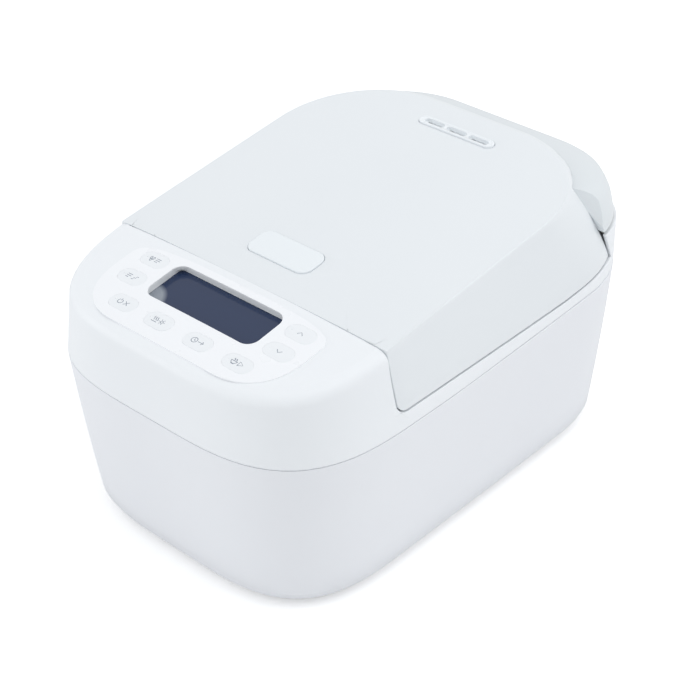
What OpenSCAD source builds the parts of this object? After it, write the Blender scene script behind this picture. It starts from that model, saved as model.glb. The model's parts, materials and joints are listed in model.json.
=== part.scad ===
// Induction rice cooker with a sloping control housing in front and a hinged lid behind it.
// Origin: on the table, under the middle of the case. The front is -Y and up is +Z.

/* [Case] */
// Width of the case at its waist line
body_w = 270; // [262:1:280]
// Length of the case from front to back
body_l = 388; // [384:1:396]
// Height of the waist line above the table
waist_h = 130; // [126:1:136]
// Reach of the front corners along each side
front_corner = 118; // [110:1:122]
// Reach of the rear corners across the back
rear_corner = 78; // [72:1:84]
// Thickness of the case walls
case_wall = 2.5; // [2.2:0.1:3]
// How much the lower case narrows on each side towards its foot
taper = 12.6; // [9:0.1:15]
// Radius of the rounding round the foot of the lower case
foot_round = 10; // [8:0.5:12]
// How far the frame leans inwards for each millimetre of height
lean = 0.11; // [0.08:0.01:0.14]
// Height of the rubber feet
foot_h = 3; // [2:0.5:5]
// Radius of the rubber feet
foot_r = 8.5; // [6:0.5:9]

/* [Frame] */
// Length of the control housing in front of the lid
housing_l = 94.8; // [92:0.2:97]
// Height of the frame's edge under the lid, above the waist line
band_h = 12; // [10:0.5:14]
// Height of the frame's raised rear, above the waist line
rear_h = 42; // [39:0.5:44]
// Thickness of the frame's raised rear wall
rear_wall_t = 3; // [2.4:0.1:3.4]
// Thickness of the deck round the pot
deck_t = 3; // [2.5:0.1:4]
// Height of the control panel's rear edge above the waist line
panel_h = 64.9; // [62:0.1:68]
// Rise of the control panel for each millimetre towards the lid
panel_slope = 0.156; // [0.14:0.002:0.17]
// Radius of the panel's edge
panel_round = 7; // [5:0.5:9]
// Radius of the crosswise curve of the panel and the lid
crown_r = 3090; // [2500:10:6000]

/* [Lid] */
// Width of the gap between lid and frame
lid_gap = 1.2; // [0.8:0.1:1.6]
// Radius of the lid's lower front corners, seen from the side
corner_r = 5.5; // [4:0.5:6.5]
// Distance of the rear end of the lid's flat top in front of the rear wall
lid_short = 42; // [38:1:46]
// How far the top's edge lies inside the case at each side
lid_inset = 8.7; // [7:0.1:11]
// Corner radius of the lid's flat top at the rear
crease_r = 85; // [78:1:92]
// Rise of the lid for each millimetre towards the rear
lid_slope = 0.124; // [0.115:0.001:0.135]
// Radius of the lengthwise curve of the lid's top
lid_curve_r = 20800; // [16000:100:30000]
// Angle to which the lid opens
lid_open = 85; // [60:1:85]
// Distance of the hinge axis in front of the rear wall
hinge_in = 18; // [17:0.5:19]
// Height of the hinge axis above the waist line
hinge_up = 60; // [58:0.5:62]

/* [Display and keys] */
// Width of the display opening
lcd_w = 103; // [90:1:106]
// Depth of the display opening from front to back
lcd_l = 36.6; // [32:0.2:38]
// Corner radius of the display opening
lcd_r = 9; // [5:0.5:12]
// How far the display window lies below the panel
lcd_sink = 5; // [4:0.1:6]
// Width of the key pads
key_w = 24; // [20:0.5:25]
// Depth of the key pads
key_l = 14; // [11:0.5:15]
// Travel of the keys
key_travel = 0.5; // [0.3:0.1:0.6]

/* [Lid button and latch] */
// Width of the lid button
button_w = 58; // [50:1:64]
// Depth of the lid button
button_l = 25; // [20:1:28]
// Travel of the lid button
button_travel = 3; // [2:0.1:3.2]
// Width of the latch hook
hook_w = 20; // [14:1:24]

/* [Steam vent] */
// Width of the steam cap
cap_w = 67; // [60:1:72]
// Depth of the steam cap
cap_l = 9.6; // [9:0.1:11]
// How far the cap's rim stands above the lid
cap_up = 1.4; // [0.8:0.1:2]

/* [Pot] */
// Inner radius of the pot
pot_r = 98; // [94:0.5:99]
// Thickness of the pot's wall
pot_t = 2; // [1.5:0.1:2.5]
// Radius between the pot's wall and its floor
pot_round = 26; // [18:1:34]
// Reach of the pot's rim beyond its wall
rim_w = 8; // [7:0.2:8.4]
// Height of the pot's floor above the table, on its underside
pot_low = 28; // [28:0.5:34]
// Distance of the pot's wall behind the lid's front edge
pot_back = 18; // [17.5:0.5:18.5]
// Gap between the pot and its well
well_gap = 4; // [3:0.1:4.4]

/* [Inlet] */
// Width of the power inlet's recess
inlet_w = 28; // [22:1:30]
// Height of the power inlet's recess
inlet_h = 17; // [14:1:20]
// Distance of the power inlet to the right of the middle
inlet_x = 34; // [28:1:40]

/* [Hidden] */
$fn = 64;
e = 0.01;              // overshoot of a cut
seat = 0.3;            // air between pieces that move apart
qn = 11;               // steps in each quarter of an outline
sn = 5;                // steps along each straight side
y_front = -body_l / 2;
y_lid = y_front + housing_l;
rear_out = 3.2;        // how far the raised rear stands behind the waist line
y_rear = body_l / 2 - rear_out;
waist_rise = 7.9;      // rise of the waist line from front to back
gap_rise = 6.4;        // rise of the lid's gap towards the rear
deck_z = waist_h + band_h;
lid_l = y_rear - y_lid - lid_short;  // length of the lid's flat top
hinge_y = y_rear - hinge_in;
stem_y = hinge_y - 31;              // stems of the hinge bracket
hinge_z = waist_h + hinge_up;
lid_face = hinge_y - y_lid - 0.3;       // radius of the lid's front face about the hinge axis
frame_face = lid_face + 0.9;       // radius of the housing's rear wall about the hinge axis
pot_out = pot_r + pot_t;
pot_y = y_lid + pot_back + pot_out;
well_in = pot_out + well_gap;
well_t = 1.8;
well_out = well_in + well_t;
hole_r = well_out + 5.2;           // opening of the deck
rim_z = deck_z + 1.4;              // top of the pot's rim
base_z = foot_h + case_wall + 0.1; // underside of the base plate
base_t = 2.4;
base_top = base_z + base_t;
lid_low = rim_z + 5.1;             // underside of the lid's base
lid_base_t = 2.5;
lid_base_top = lid_low + lid_base_t;
well_low = pot_low - 4;            // top of the well's floor
coil_low = well_low - well_t - seat - 4.4;
holder_t = 2.7;
holder_z = coil_low - seat - holder_t;
pcb_t = 1.6;
board_drop = 9;                    // depth of the control board below the panel

// Places of the keys: across, and in front of the lid
key_at = [[-69, -20.3], [-69, -41.9], [70.5, -20.6], [70.5, -41.2],
    [-53, -64.3], [-17.8, -64.3], [19.4, -64.3], [56.1, -64.3]];
// Hinge cover, from its lower edge up: height above the waist, inset at the sides, inset at the
// rear, corner radius
cover_levels = [[46, 5.4, 1.2, 79], [50, 6, 1.2, 79], [61, 8, 2.2, 79], [71, 10.5, 6.2, 79],
    [75, 12.7, 11.7, 78], [78, 15.5, 18.2, 77], [80, 19, 25.2, 74], [82, 25, 35.2, 70]];
cover_top = 84.3;      // height above the waist at which the lid's top overhangs the cover
rear_cut = 0.489;      // slope of the lid's rear end

// ---- outlines -------------------------------------------------------------------------
function se(v, n) = pow(max(0, v), 2 / n);
// Closed outline with superellipse corners, counter-clockwise from the right-hand side
function outline(a, yf, yb, rf, rx, ry, nf, nr) = concat(
    [for (i = [0:qn]) let (t = 90 * i / qn)
        [a - rx + rx * se(cos(t), nr), yb - ry + ry * se(sin(t), nr)]],
    [for (i = [0:qn]) let (t = 90 * i / qn)
        [-(a - rx + rx * se(sin(t), nr)), yb - ry + ry * se(cos(t), nr)]],
    [for (j = [1:sn - 1]) [-a, yb - ry + (yf + rf - yb + ry) * j / sn]],
    [for (i = [0:qn]) let (t = 90 * i / qn)
        [-(a - rf + rf * se(cos(t), nf)), yf + rf - rf * se(sin(t), nf)]],
    [for (i = [0:qn]) let (t = 90 * i / qn)
        [a - rf + rf * se(sin(t), nf), yf + rf - rf * se(cos(t), nf)]],
    [for (j = [1:sn - 1]) [a, yf + rf + (yb - ry - yf - rf) * j / sn]]);
// The sides draw in slightly towards the rear
function bowed(o) = [for (p = o)
    [p.x * (1 - pow(max(0, p.y - y_lid - 80) / 150, 2) / body_w * 2), p.y]];
// Outline of the frame at a height h above the waist, drawn in by o
function frame_at(h, o = 0) = let (f = h / rear_h, d = lean * h + o) bowed(outline(
    body_w / 2 - d, y_front + d, y_rear + rear_out * f - o, front_corner - d,
    rear_corner - 6 * f - o, rear_corner + 5 - 11 * f - o, 3.1, 2.3 - 0.3 * f));
// Outline of the lower case, drawn in by o
function case_at(o) = bowed(outline(body_w / 2 - o, y_front + o, y_rear - o,
    front_corner - o, rear_corner - o, rear_corner + 5 - o, 3.1, 2.3));
function rise(y) = waist_rise * max(0, y - y_lid - 60) / 230;
function gap_z(y) = deck_z + gap_rise * pow(min(1, max(0, y - y_lid - lid_l + 68) / 68), 1.5);
function panel_z(p) = waist_h + panel_h + panel_slope * (p.y - y_lid)
    - p.x * p.x / 2 / crown_r;
function lid_edge_z(y) = waist_h + panel_h - 2.5 + lid_slope * (y - y_lid)
    - pow(y - y_lid, 2) / 2 / lid_curve_r;
function lid_z(p) = lid_edge_z(p.y) + 2.5 - p.x * p.x / 2 / crown_r;
function at_z(o, f) = [for (p = o) [p.x, p.y, f(p)]];
function mix(a, b, k) = [for (i = [0:len(a) - 1]) a[i] + (b[i] - a[i]) * k];
function shrink(o, c, k) = [for (p = o) [c.x + (p.x - c.x) * k, c.y + (p.y - c.y) * k]];
function flat(a) = [for (r = a) for (p = r) p];

// ---- solids from outlines -----------------------------------------------------------------
// Closed solid through a stack of outlines, lowest first, with a top and a bottom middle point
module loft(rings, low, high) {
    n = len(rings[0]);
    m = len(rings);
    polyhedron(concat(flat(rings), [low, high]), concat(
        [for (k = [0:m - 2]) for (i = [0:n - 1]) let (j = (i + 1) % n)
            [k * n + i, (k + 1) * n + i, (k + 1) * n + j]],
        [for (k = [0:m - 2]) for (i = [0:n - 1]) let (j = (i + 1) % n)
            [k * n + i, (k + 1) * n + j, k * n + j]],
        [for (i = [0:n - 1]) [m * n, i, (i + 1) % n]],
        [for (i = [0:n - 1]) [m * n + 1, (m - 1) * n + (i + 1) % n, (m - 1) * n + i]]));
}
// Endless wall through outlines that run down inside and up outside
module wall_loft(rings) {
    n = len(rings[0]);
    m = len(rings);
    polyhedron(flat(rings), concat(
        [for (k = [0:m - 1]) for (i = [0:n - 1]) let (j = (i + 1) % n, u = (k + 1) % m)
            [k * n + i, u * n + i, u * n + j]],
        [for (k = [0:m - 1]) for (i = [0:n - 1]) let (j = (i + 1) % n, u = (k + 1) % m)
            [k * n + i, u * n + j, k * n + j]]));
}
// Bar with round ends, and a plate with round corners, both along Z
module slot(w, l, h) hull() for (s = [-1, 1]) translate([s * (w - l) / 2, 0, 0])
    cylinder(d = l, h = h, $fn = 32);
module plate(w, l, r, h) hull() for (s = [-1, 1], t = [-1, 1])
    translate([s * (w / 2 - r), t * (l / 2 - r), 0]) cylinder(r = r, h = h, $fn = 32);
// The same two as exact shapes
module bar(w, l, h) linear_extrude(h) {
    square([w - l, l], center = true);
    for (s = [-1, 1]) translate([s * (w - l) / 2, 0]) circle(d = l);
}
module block(w, l, r, h) linear_extrude(h) {
    square([w - 2 * r, l], center = true);
    square([w, l - 2 * r], center = true);
    for (s = [-1, 1], t = [-1, 1]) translate([s * (w / 2 - r), t * (l / 2 - r)]) circle(r = r);
}
module tube(ro, ri, h) difference() {
    cylinder(r = ro, h = h);
    translate([0, 0, -1]) cylinder(r = ri, h = h + 2);
}
// Everything nearer to the hinge axis than r
module swing(r, w = 300) translate([-w / 2, hinge_y, hinge_z]) rotate([0, 90, 0])
    cylinder(r = r, h = w, $fn = 240);
// Places on the panel and the lid
module on_panel(x = 0, y = 0, z = 0) translate([0, y_lid, waist_h + panel_h])
    rotate([atan(panel_slope), 0, 0])
    translate([x, y / cos(atan(panel_slope)), z - x * x / 2 / crown_r]) children();
button_y = 37.6;
vent_y = lid_l - 29.2;
vent_x = 3.5;
function lid_tilt(y) = atan(lid_slope - y / lid_curve_r);
module on_lid(x, y, z = 0) translate([x, y_lid + y, lid_z([x, y_lid + y])])
    rotate([lid_tilt(y), 0, 0]) translate([0, 0, z]) children();
module at_pot(z = 0) translate([0, pot_y, z]) children();

// ---- lower case ---------------------------------------------------------------------------
function narrowing(t) = taper * (0.72 * t + 0.28 * t * t);
case_steps = [0, 0.22, 0.45, 0.7, 0.92];
// outline at depth t, 0 at the waist and 1 at the foot
function case_ring(t, o) = at_z(case_at(narrowing(t) + o),
    function (p) waist_h + rise(p.y) - (waist_h + rise(p.y) - foot_h) * t);
function foot_ring(a, r, o) = at_z(case_at(taper + o + r * (1 - cos(a))),
    function (p) foot_h + foot_round - r * sin(a));
flange_in = taper + foot_round + 18;
module lower_case() color("gainsboro") difference() {
    wall_loft(concat(
        [for (t = case_steps) case_ring(t, case_wall)],
        [for (a = [30, 60, 90]) foot_ring(a, foot_round - case_wall, case_wall)],
        [at_z(case_at(flange_in), function (p) foot_h + case_wall)],
        [at_z(case_at(flange_in), function (p) foot_h)],
        [for (a = [90, 60, 30]) foot_ring(a, foot_round, 0)],
        [for (t = [0.92, 0.7, 0.45, 0.22, 0]) case_ring(t, 0)]));
    // air slots in the rear
    for (i = [0:8]) translate([-20 - 7 * i, y_rear, 38]) hull() for (s = [0, 24])
        translate([0, 0, s]) rotate([90, 0, 0]) cylinder(r = 1.6, h = 40, center = true, $fn = 24);
    translate([inlet_x, y_rear, inlet_z]) cube([inlet_w + 6.6, 40, inlet_h + 6.6], center = true);
    for (p = screw_at) translate([p.x, p.y, 0]) cylinder(r = 1.9, h = 12, $fn = 24);
}
screw_at = [[0, y_front + 31], [0, y_rear - 31], [body_w / 2 - 31, 0], [31 - body_w / 2, 0]];
foot_at = [[62, y_front + 36], [-62, y_front + 36], [70, y_rear - 33], [-70, y_rear - 33]];
module feet() color("dimgray") for (p = foot_at) translate([p.x, p.y, 0])
    cylinder(r = foot_r, h = foot_h);
module base_plate() color("lightgray") difference() {
    translate([0, 0, base_z]) linear_extrude(base_t) polygon(case_at(taper + foot_round + 2));
    for (p = screw_at) translate([p.x, p.y, 0]) cylinder(r = 1.7, h = 20);
    for (i = [-3:3]) translate([fan_x + 7 * i, fan_y, 0]) cube([3, 44, 40], center = true);
    for (i = [0:5]) translate([-40 + 16 * i, 118, 0]) cube([4, 26, 40], center = true);
}
module base_screws() color("silver") for (p = screw_at) translate([p.x, p.y, foot_h - 1.6]) {
    cylinder(r = 3.2, h = 1.6);
    cylinder(r = 1.6, h = 1.6 + case_wall + base_t + 3);
}

// ---- frame --------------------------------------------------------------------------------
top_h = 60;
function frame_ring(o, hf) = let (lo = frame_at(0, o), hi = frame_at(top_h, o))
    [for (i = [0:len(lo) - 1]) let (h = hf(lo[i]), q = lo[i] + (hi[i] - lo[i]) * h / top_h)
        [q.x, q.y, waist_h + h]];
module frame_form(o, low, drop) {
    top = frame_ring(o + panel_round, function (p) panel_z(p) - waist_h - drop);
    r = panel_round;
    loft(concat([frame_ring(o, function (p) rise(p.y) - low)],
        [for (t = [0.5, 1]) frame_ring(o, function (p) (panel_z(p) - waist_h - drop - r) * t)],
        [for (a = [30, 60]) frame_ring(o + r * (1 - cos(a)),
            function (p) panel_z(p) - waist_h - drop - r * (1 - sin(a)))],
        [top], [for (k = [0.8, 0.6, 0.4, 0.2]) at_z(shrink(top, [0, 0], k),
            function (p) panel_z(p) - drop)]),
        [0, 0, waist_h - low], [0, 0, panel_z([0, 0]) - drop]);
}
module rear_room(o, low, top) loft([
    frame_ring(o, function (p) low), frame_ring(o, function (p) (low + top) / 2),
    frame_ring(o, function (p) top)], [0, 0, waist_h + low], [0, 0, waist_h + top]);
// Profile across the joint of lid and housing: an arc about the hinge axis that turns
// into a level line z through a rounded corner
function joint_line(rad, r, z) = let (dz = hinge_z - z - r, b = asin(dz / (rad - r)),
    yc = hinge_y - sqrt(pow(rad - r, 2) - dz * dz)) concat(
    [for (a = [-12:3:0]) [hinge_y - rad * cos(a), hinge_z - rad * sin(a)]],
    [for (k = [1:5]) [hinge_y - rad * cos(b * k / 5), hinge_z - rad * sin(b * k / 5)]],
    [for (k = [1:6]) let (a = b + (90 - b) * k / 6) [yc - r * cos(a), z + r - r * sin(a)]]);
module across(pts) translate([200, 0, 0]) rotate([90, 0, -90]) linear_extrude(400)
    polygon([for (q = pts) [-q.x, q.y]]);
// everything above the deck and behind the housing, moved down and forwards by d and w
module above_deck(d, w) across(concat(
    joint_line(frame_face + w, corner_r + lid_gap + (d > 0 ? 1 : 0), deck_z - d),
    [for (u = [170:10:240]) [y_lid + u, gap_z(y_lid + u) - d]],
    [[y_lid + lid_l, gap_z(y_lid + lid_l) - d], [300, gap_z(300) - d], [300, 400],
    [y_lid - 8, 400]]));
// region behind the slanting rear end of the lid, moved back by s
module behind(s, top = 200) translate([200, 0, 0]) rotate([90, 0, -90]) linear_extrude(400)
    polygon([for (q = [[lid_end(-waist_h) + s, 0], [lid_end(top) + s, waist_h + top],
        [400, waist_h + top], [400, 0]]) [-q.x, q.y]]);
function lid_end(h) = y_lid + lid_l + 1.3 - rear_cut * (h - band_h);
post_at = [[-82, -70], [82, -70], [-84, -12], [84, -12]];
catch_z = waist_h + 35.5;
module upper_frame() color("white") difference() {
    union() {
        difference() {
            frame_form(0, -seat, 0);
            difference() { frame_form(case_wall, 5, case_wall); above_deck(deck_t, case_wall); }
            difference() { above_deck(0, 0); behind(1, 200); }
            intersection() { above_deck(0, 0); rear_room(rear_wall_t, 5, rear_h + 20); }
            translate([-200, y_lid + 150, waist_h + rear_h]) cube([400, 400, 400]);
        }
        // collar of the display opening and the posts of the control board
        on_panel(lcd_x, lcd_y, -lcd_sink + 0.1) plate(lcd_w + 4, lcd_l + 4, lcd_r + 2,
            lcd_sink - 1);
        for (p = post_at) on_panel(p.x, p.y, p.x * p.x / 2 / crown_r - board_drop + 0.1)
            cylinder(r = 3.2, h = board_drop - 3, $fn = 24);
    }
    at_pot() cylinder(r = hole_r, h = 400, $fn = 96);
    on_panel(lcd_x, lcd_y, -20) plate(lcd_w, lcd_l, lcd_r, 40);
    for (p = key_at) on_panel(p.x, p.y, -3.5) slot(key_w, key_l, 12);
    // seat of the latch's catch
    translate([0, y_lid, catch_z]) cube([hook_w + 16.4, 16, 16.4], center = true);
}
lcd_x = 0.5;
lcd_y = -31;

// ---- control panel ------------------------------------------------------------------------
sheet_t = 0.6;
module panel_sheet() color("whitesmoke") difference() {
    o = outline(91, y_lid - 80.5, y_lid - 7, 46, 78, 18, 2.4, 3.4);
    loft(concat([for (k = [0.5, 1]) at_z(shrink(o, [0, y_lid - 44], k),
            function (p) panel_z(p) + 0.1)],
        [for (k = [1, 0.66, 0.33]) at_z(shrink(o, [0, y_lid - 44], k),
            function (p) panel_z(p) + 0.1 + sheet_t)]),
        [0, y_lid - 44, panel_z([0, y_lid - 44]) + 0.1],
        [0, y_lid - 44, panel_z([0, y_lid - 44]) + 0.1 + sheet_t]);
    on_panel(lcd_x, lcd_y, -20) plate(lcd_w, lcd_l, lcd_r, 40);
    for (p = key_at) on_panel(p.x, p.y, -20) slot(key_w, key_l, 40);
}
key_gap = 0.25;
module key(i) on_panel(key_at[i].x, key_at[i].y) {
    translate([0, 0, -4.9]) bar(key_w - 2 * key_gap, key_l - 2 * key_gap, 4.9 + 1.1);
    translate([0, 0, -4.9]) bar(key_w + 1.4, key_l + 1.4, 1);
    translate([0, 0, 1 - board_drop + pow(key_at[i].x, 2) / 2 / crown_r + key_travel])
        cylinder(r = 2.5, h = board_drop - 4);
}
module key_left_rear() color("white") key(0);
module key_left_front() color("white") key(1);
module key_up() color("white") key(2);
module key_down() color("white") key(3);
module key_front_1() color("white") key(4);
module key_front_2() color("white") key(5);
module key_front_3() color("white") key(6);
module key_start() color("white") key(7);
module display_window() color("slategray") on_panel(lcd_x, lcd_y, -lcd_sink - 1.5)
    block(lcd_w + 3, lcd_l + 3, lcd_r, 1.4);
module display_module() color("darkslategray") on_panel(lcd_x, lcd_y, -board_drop + 0.1)
    translate([-lcd_w / 2 + 4, -lcd_l / 2 + 2, 0])
    cube([lcd_w - 8, lcd_l - 4, board_drop - lcd_sink - 1.8]);
module control_board() color("darkgreen") {
    on_panel(0, -41, -board_drop - pcb_t) translate([-88, -36, 0]) cube([176, 70, pcb_t]);
    for (p = key_at) on_panel(p.x, p.y, p.x * p.x / 2 / crown_r - board_drop)
        translate([-3, -3, 0]) cube([6, 6, 0.9]);
}

// ---- pot, well and coils --------------------------------------------------------------------
module inner_pot() color("dimgray") at_pot() rotate_extrude($fn = 96) difference() {
    union() {
        translate([0, pot_low]) square([pot_out - pot_round, rim_z - pot_low]);
        translate([0, pot_low + pot_round]) square([pot_out, rim_z - pot_low - pot_round]);
        translate([pot_out - pot_round, pot_low + pot_round]) circle(r = pot_round);
        translate([pot_out - 1, rim_z - 1.4]) square([rim_w + 1, 1.4]);
    }
    union() {
        translate([-e, pot_low + pot_t]) square([pot_out - pot_round + e, 300]);
        translate([0, pot_low + pot_round]) square([pot_r, 300]);
        translate([pot_out - pot_round, pot_low + pot_round]) circle(r = pot_round - pot_t);
    }
    translate([-2 * body_w, 0]) square([2 * body_w, 400]);
}
module pot_well() color("darkgray") at_pot() rotate_extrude($fn = 96) {
    translate([16, well_low - well_t]) square([well_in - 16 + e, well_t]);
    translate([well_in, well_low - well_t]) square([well_t, deck_z - deck_t - well_low + well_t]);
    translate([well_in, deck_z - deck_t - 2]) square([hole_r + 6 - well_in, 2]);
}
module well_ring() color("gray") at_pot() rotate_extrude($fn = 96) {
    translate([well_in + 0.4, deck_z - deck_t]) square([hole_r - 0.5 - well_in - 0.4, deck_t]);
}
module coil_holder() color("ivory") at_pot() {
    translate([0, 0, holder_z]) difference() {
        cylinder(r = 95, h = holder_t);
        translate([0, 0, -1]) cylinder(r = 16, h = 10);
        for (a = [0:60:300]) rotate(a + 30) translate([54, 0, -1]) cylinder(r = 9, h = 10);
    }
    for (a = [30:60:330]) rotate(a) translate([80, 0, base_top])
        cylinder(r = 4, h = holder_z - base_top + e);
}
module bottom_coil() color("peru") at_pot(coil_low) {
    tube(50, 24, 4.4);
    tube(90, 58, 4.4);
}
module side_coil() color("peru") at_pot(60) tube(well_out + seat + 3, well_out + seat, 22);
module ferrite_bars() color("black") at_pot(base_top + 0.4) for (a = [0:60:300]) rotate(a)
    translate([22, -7, 0]) cube([66, 14, holder_z - base_top - 0.7]);
module sensor_holder() color("ivory") at_pot(base_top) difference() {
    cylinder(r = 12, h = 7.6);
    translate([0, 0, 1.4]) cylinder(r = 6.05, h = 10);
}
module pot_sensor() color("silver") at_pot() {
    translate([0, 0, pot_low - 1.8]) cylinder(r = 13, h = 1.6);
    translate([0, 0, base_top + 4]) cylinder(r = 6, h = pot_low - 1 - base_top - 4);
}
module sensor_spring() color("silver") at_pot() rotate_extrude() for (k = [0:4])
    translate([8.2, base_top + 7.6 + seat + 0.8 + k * (pot_low - base_top - 11.6) / 4])
    circle(r = 0.75, $fn = 16);

// ---- power electronics ------------------------------------------------------------------------
fan_x = -52;
fan_y = y_front + 70;
module fan_frame() color("black") translate([fan_x, fan_y, base_top]) difference() {
    translate([-30, -30, 0]) cube([60, 60, 15]);
    translate([0, 0, 3]) cylinder(r = 28.5, h = 20);
    translate([0, 0, -1]) difference() {
        cylinder(r = 28.5, h = 6);
        cylinder(r = 12, h = 6);
        for (a = [0, 90]) rotate(a) translate([-30, -2, -1]) cube([60, 4, 8]);
    }
    translate([0, 0, -1]) cylinder(r = 1.55, h = 8);
}
module fan_rotor() color("dimgray") translate([fan_x, fan_y, base_top]) {
    translate([0, 0, 3.4]) cylinder(r = 11, h = 10.6);
    translate([0, 0, 0.2]) cylinder(r = 1.5, h = 4);
    for (a = [0:60:300]) rotate(a) translate([10, -0.6, 4.4]) rotate([25, 0, 0])
        cube([17, 1.2, 8.4]);
}
board_x = 36;
board_z = base_top + 12;
module power_board() color("darkgreen") {
    translate([board_x - 50, fan_y - 34, board_z]) cube([100, 64, pcb_t]);
    for (s = [-44, 44], t = [-28, 24]) translate([board_x + s, fan_y + t, base_top])
        cylinder(r = 3, h = board_z - base_top + e);
}
module heat_sink() color("silver") translate([board_x - 44, fan_y - 24, board_z + pcb_t]) {
    cube([40, 44, 3]);
    for (i = [0:6]) translate([i * 6.4, 0, 2.9]) cube([1.6, 44, 25]);
}
module capacitors() color("saddlebrown") translate([board_x + 12, fan_y, board_z + pcb_t]) {
    for (p = [[6, -18, 11, 26], [28, -20, 8, 22], [28, 2, 8, 22]]) translate([p.x, p.y, 0])
        cylinder(r = p[2], h = p[3]);
    translate([-4, 4, 0]) cube([20, 20, 18]);
}
inlet_z = foot_h + 46;
function case_y(z) = y_rear - narrowing(1 - (z - foot_h) / (waist_h + rise(y_rear) - foot_h));
inlet_y = case_y(inlet_z + inlet_h / 2 + 4) + 0.3;
module power_inlet() color("dimgray") translate([inlet_x, inlet_y, inlet_z]) difference() {
    union() {
        translate([0, 1, 0]) cube([inlet_w + 10, 2, inlet_h + 10], center = true);
        translate([0, -12, 0]) cube([inlet_w + 6, 24 + 2 * e, inlet_h + 6], center = true);
    }
    translate([0, -7, 0]) cube([inlet_w, 30, inlet_h], center = true);
    for (s = [-1, 1]) translate([s * inlet_w / 5, -21, 0]) rotate([90, 0, 0])
        cylinder(r = 2, h = 20, center = true);
}
module inlet_pins() color("gold") translate([inlet_x, inlet_y, inlet_z]) for (s = [-1, 1])
    translate([s * inlet_w / 5, -8, 0]) rotate([90, 0, 0]) cylinder(r = 2, h = 22);

// ---- hinge ------------------------------------------------------------------------------------
pin_r = 3;
neck_x = 62;
arm_x = 53;
module side_plate(x, t, pts) translate([x + t / 2, 0, 0]) rotate([90, 0, -90])
    linear_extrude(t) polygon([for (q = pts) [-q.x, q.y]]);
module hinge_bore(r) translate([-150, hinge_y, hinge_z]) rotate([0, 90, 0])
    cylinder(r = r, h = 300);
trough_z = deck_z + gap_rise;
module hinge_bracket() color("gray") difference() {
    union() {
        translate([-neck_x - 8, stem_y - 5, trough_z + 0.2])
            cube([2 * neck_x + 16, 44, 3]);
        for (s = [-1, 1]) {
            side_plate(s * neck_x, 6, [[stem_y - 5, trough_z + 1], [stem_y + 5, trough_z + 1],
                [stem_y + 5, hinge_z - 7], [hinge_y, hinge_z - 7], [hinge_y, hinge_z + 7],
                [stem_y - 2, hinge_z + 7], [stem_y - 5, hinge_z + 4]]);
            translate([s * neck_x - 3, hinge_y, hinge_z]) rotate([0, 90, 0])
                cylinder(r = 7, h = 6);
        }
    }
    hinge_bore(pin_r);
}
module hinge_pin() color("silver") intersection() {
    hinge_bore(pin_r);
    translate([-neck_x - 6, hinge_y - 20, hinge_z - 20]) cube([2 * neck_x + 12, 40, 40]);
}
module hinge_springs() color("silver") for (s = [-1, 1])
    translate([s * 43, hinge_y, hinge_z]) rotate([0, 90, 0]) rotate_extrude()
    for (k = [-3:3]) translate([pin_r + 2, k * 1.9]) circle(r = 0.9, $fn = 16);
module hinge_arms() color("gray") difference() {
    union() for (s = [-1, 1]) {
        side_plate(s * arm_x, 6, [[hinge_y, hinge_z - 7.5], [hinge_y, hinge_z + 7.5],
            [duct_y, hinge_z + 9], [duct_y, lid_base_top], [stem_y - 15, lid_base_top],
            [stem_y - 15, hinge_z - 7.5]]);
        translate([s * arm_x - 3, hinge_y, hinge_z]) rotate([0, 90, 0])
            cylinder(r = 7.5, h = 6);
    }
    hinge_bore(pin_r + 0.05);
}

// ---- lid --------------------------------------------------------------------------------------
function lid_foot(o) = bowed(outline(body_w / 2 - lean * band_h - 0.2 - o, y_lid - 30,
    y_rear - 2.5 - o, 12, rear_corner - o, rear_corner + 5 - o, 2, 2.3));
function crease(o) = outline(body_w / 2 - lid_inset - o, y_lid - 30, y_lid + lid_l - o, 12,
    crease_r - o, crease_r - o, 2, 2);
// side of the lid at t, 0 at the gap and 1 at the crease; it bulges towards the crease
function lid_side(t, o, drop) = let (g = lid_foot(o), c = crease(o), f = pow(t, 1.45))
    [for (i = [0:len(g) - 1]) let (q = g[i] + (c[i] - g[i]) * f, z0 = gap_z(g[i].y) + lid_gap,
        z1 = lid_edge_z(c[i].y) - drop) [q.x, q.y, z0 + (z1 - z0) * t]];
module lid_form(o, low) {
    c = [0, y_lid + 110];
    loft(concat(low > 0 ? [[for (p = lid_side(0, o, o)) [p.x, p.y, p.z - low]]] : [],
        [for (t = [0, 0.2, 0.4, 0.6, 0.8, 0.94]) lid_side(t, o, o)],
        [at_z(crease(o + 0.9), function (p) lid_edge_z(p.y) - o + 0.2)],
        [at_z(crease(o + 3), function (p) (lid_edge_z(p.y) + 2 * lid_z(p)) / 3 - o)],
        [for (k = [0, 1, 2, 3, 4]) at_z(shrink(crease(o + 7), c, 1 - k / 5),
            function (p) lid_z(p) - o)]),
        [c.x, c.y, deck_z - low], [c.x, c.y, lid_z(c) - o]);
}
module lid_profile(o) across(concat(joint_line(lid_face - o, corner_r - o, lid_front_z + o),
    [[hinge_y - sqrt(pow(lid_face - corner_r, 2) - pow(hinge_z - lid_front_z - corner_r, 2)), 0],
    [400, 0], [400, 400], [y_lid + 8, 400]]));
lid_front_z = deck_z + lid_gap - 0.02;
boss_x = pot_out + 14;
boss_at = [[-108, 42], [108, 42], [-boss_x, 130], [boss_x, 130], [-88, lid_l - 39], [88, lid_l - 39]];
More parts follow.
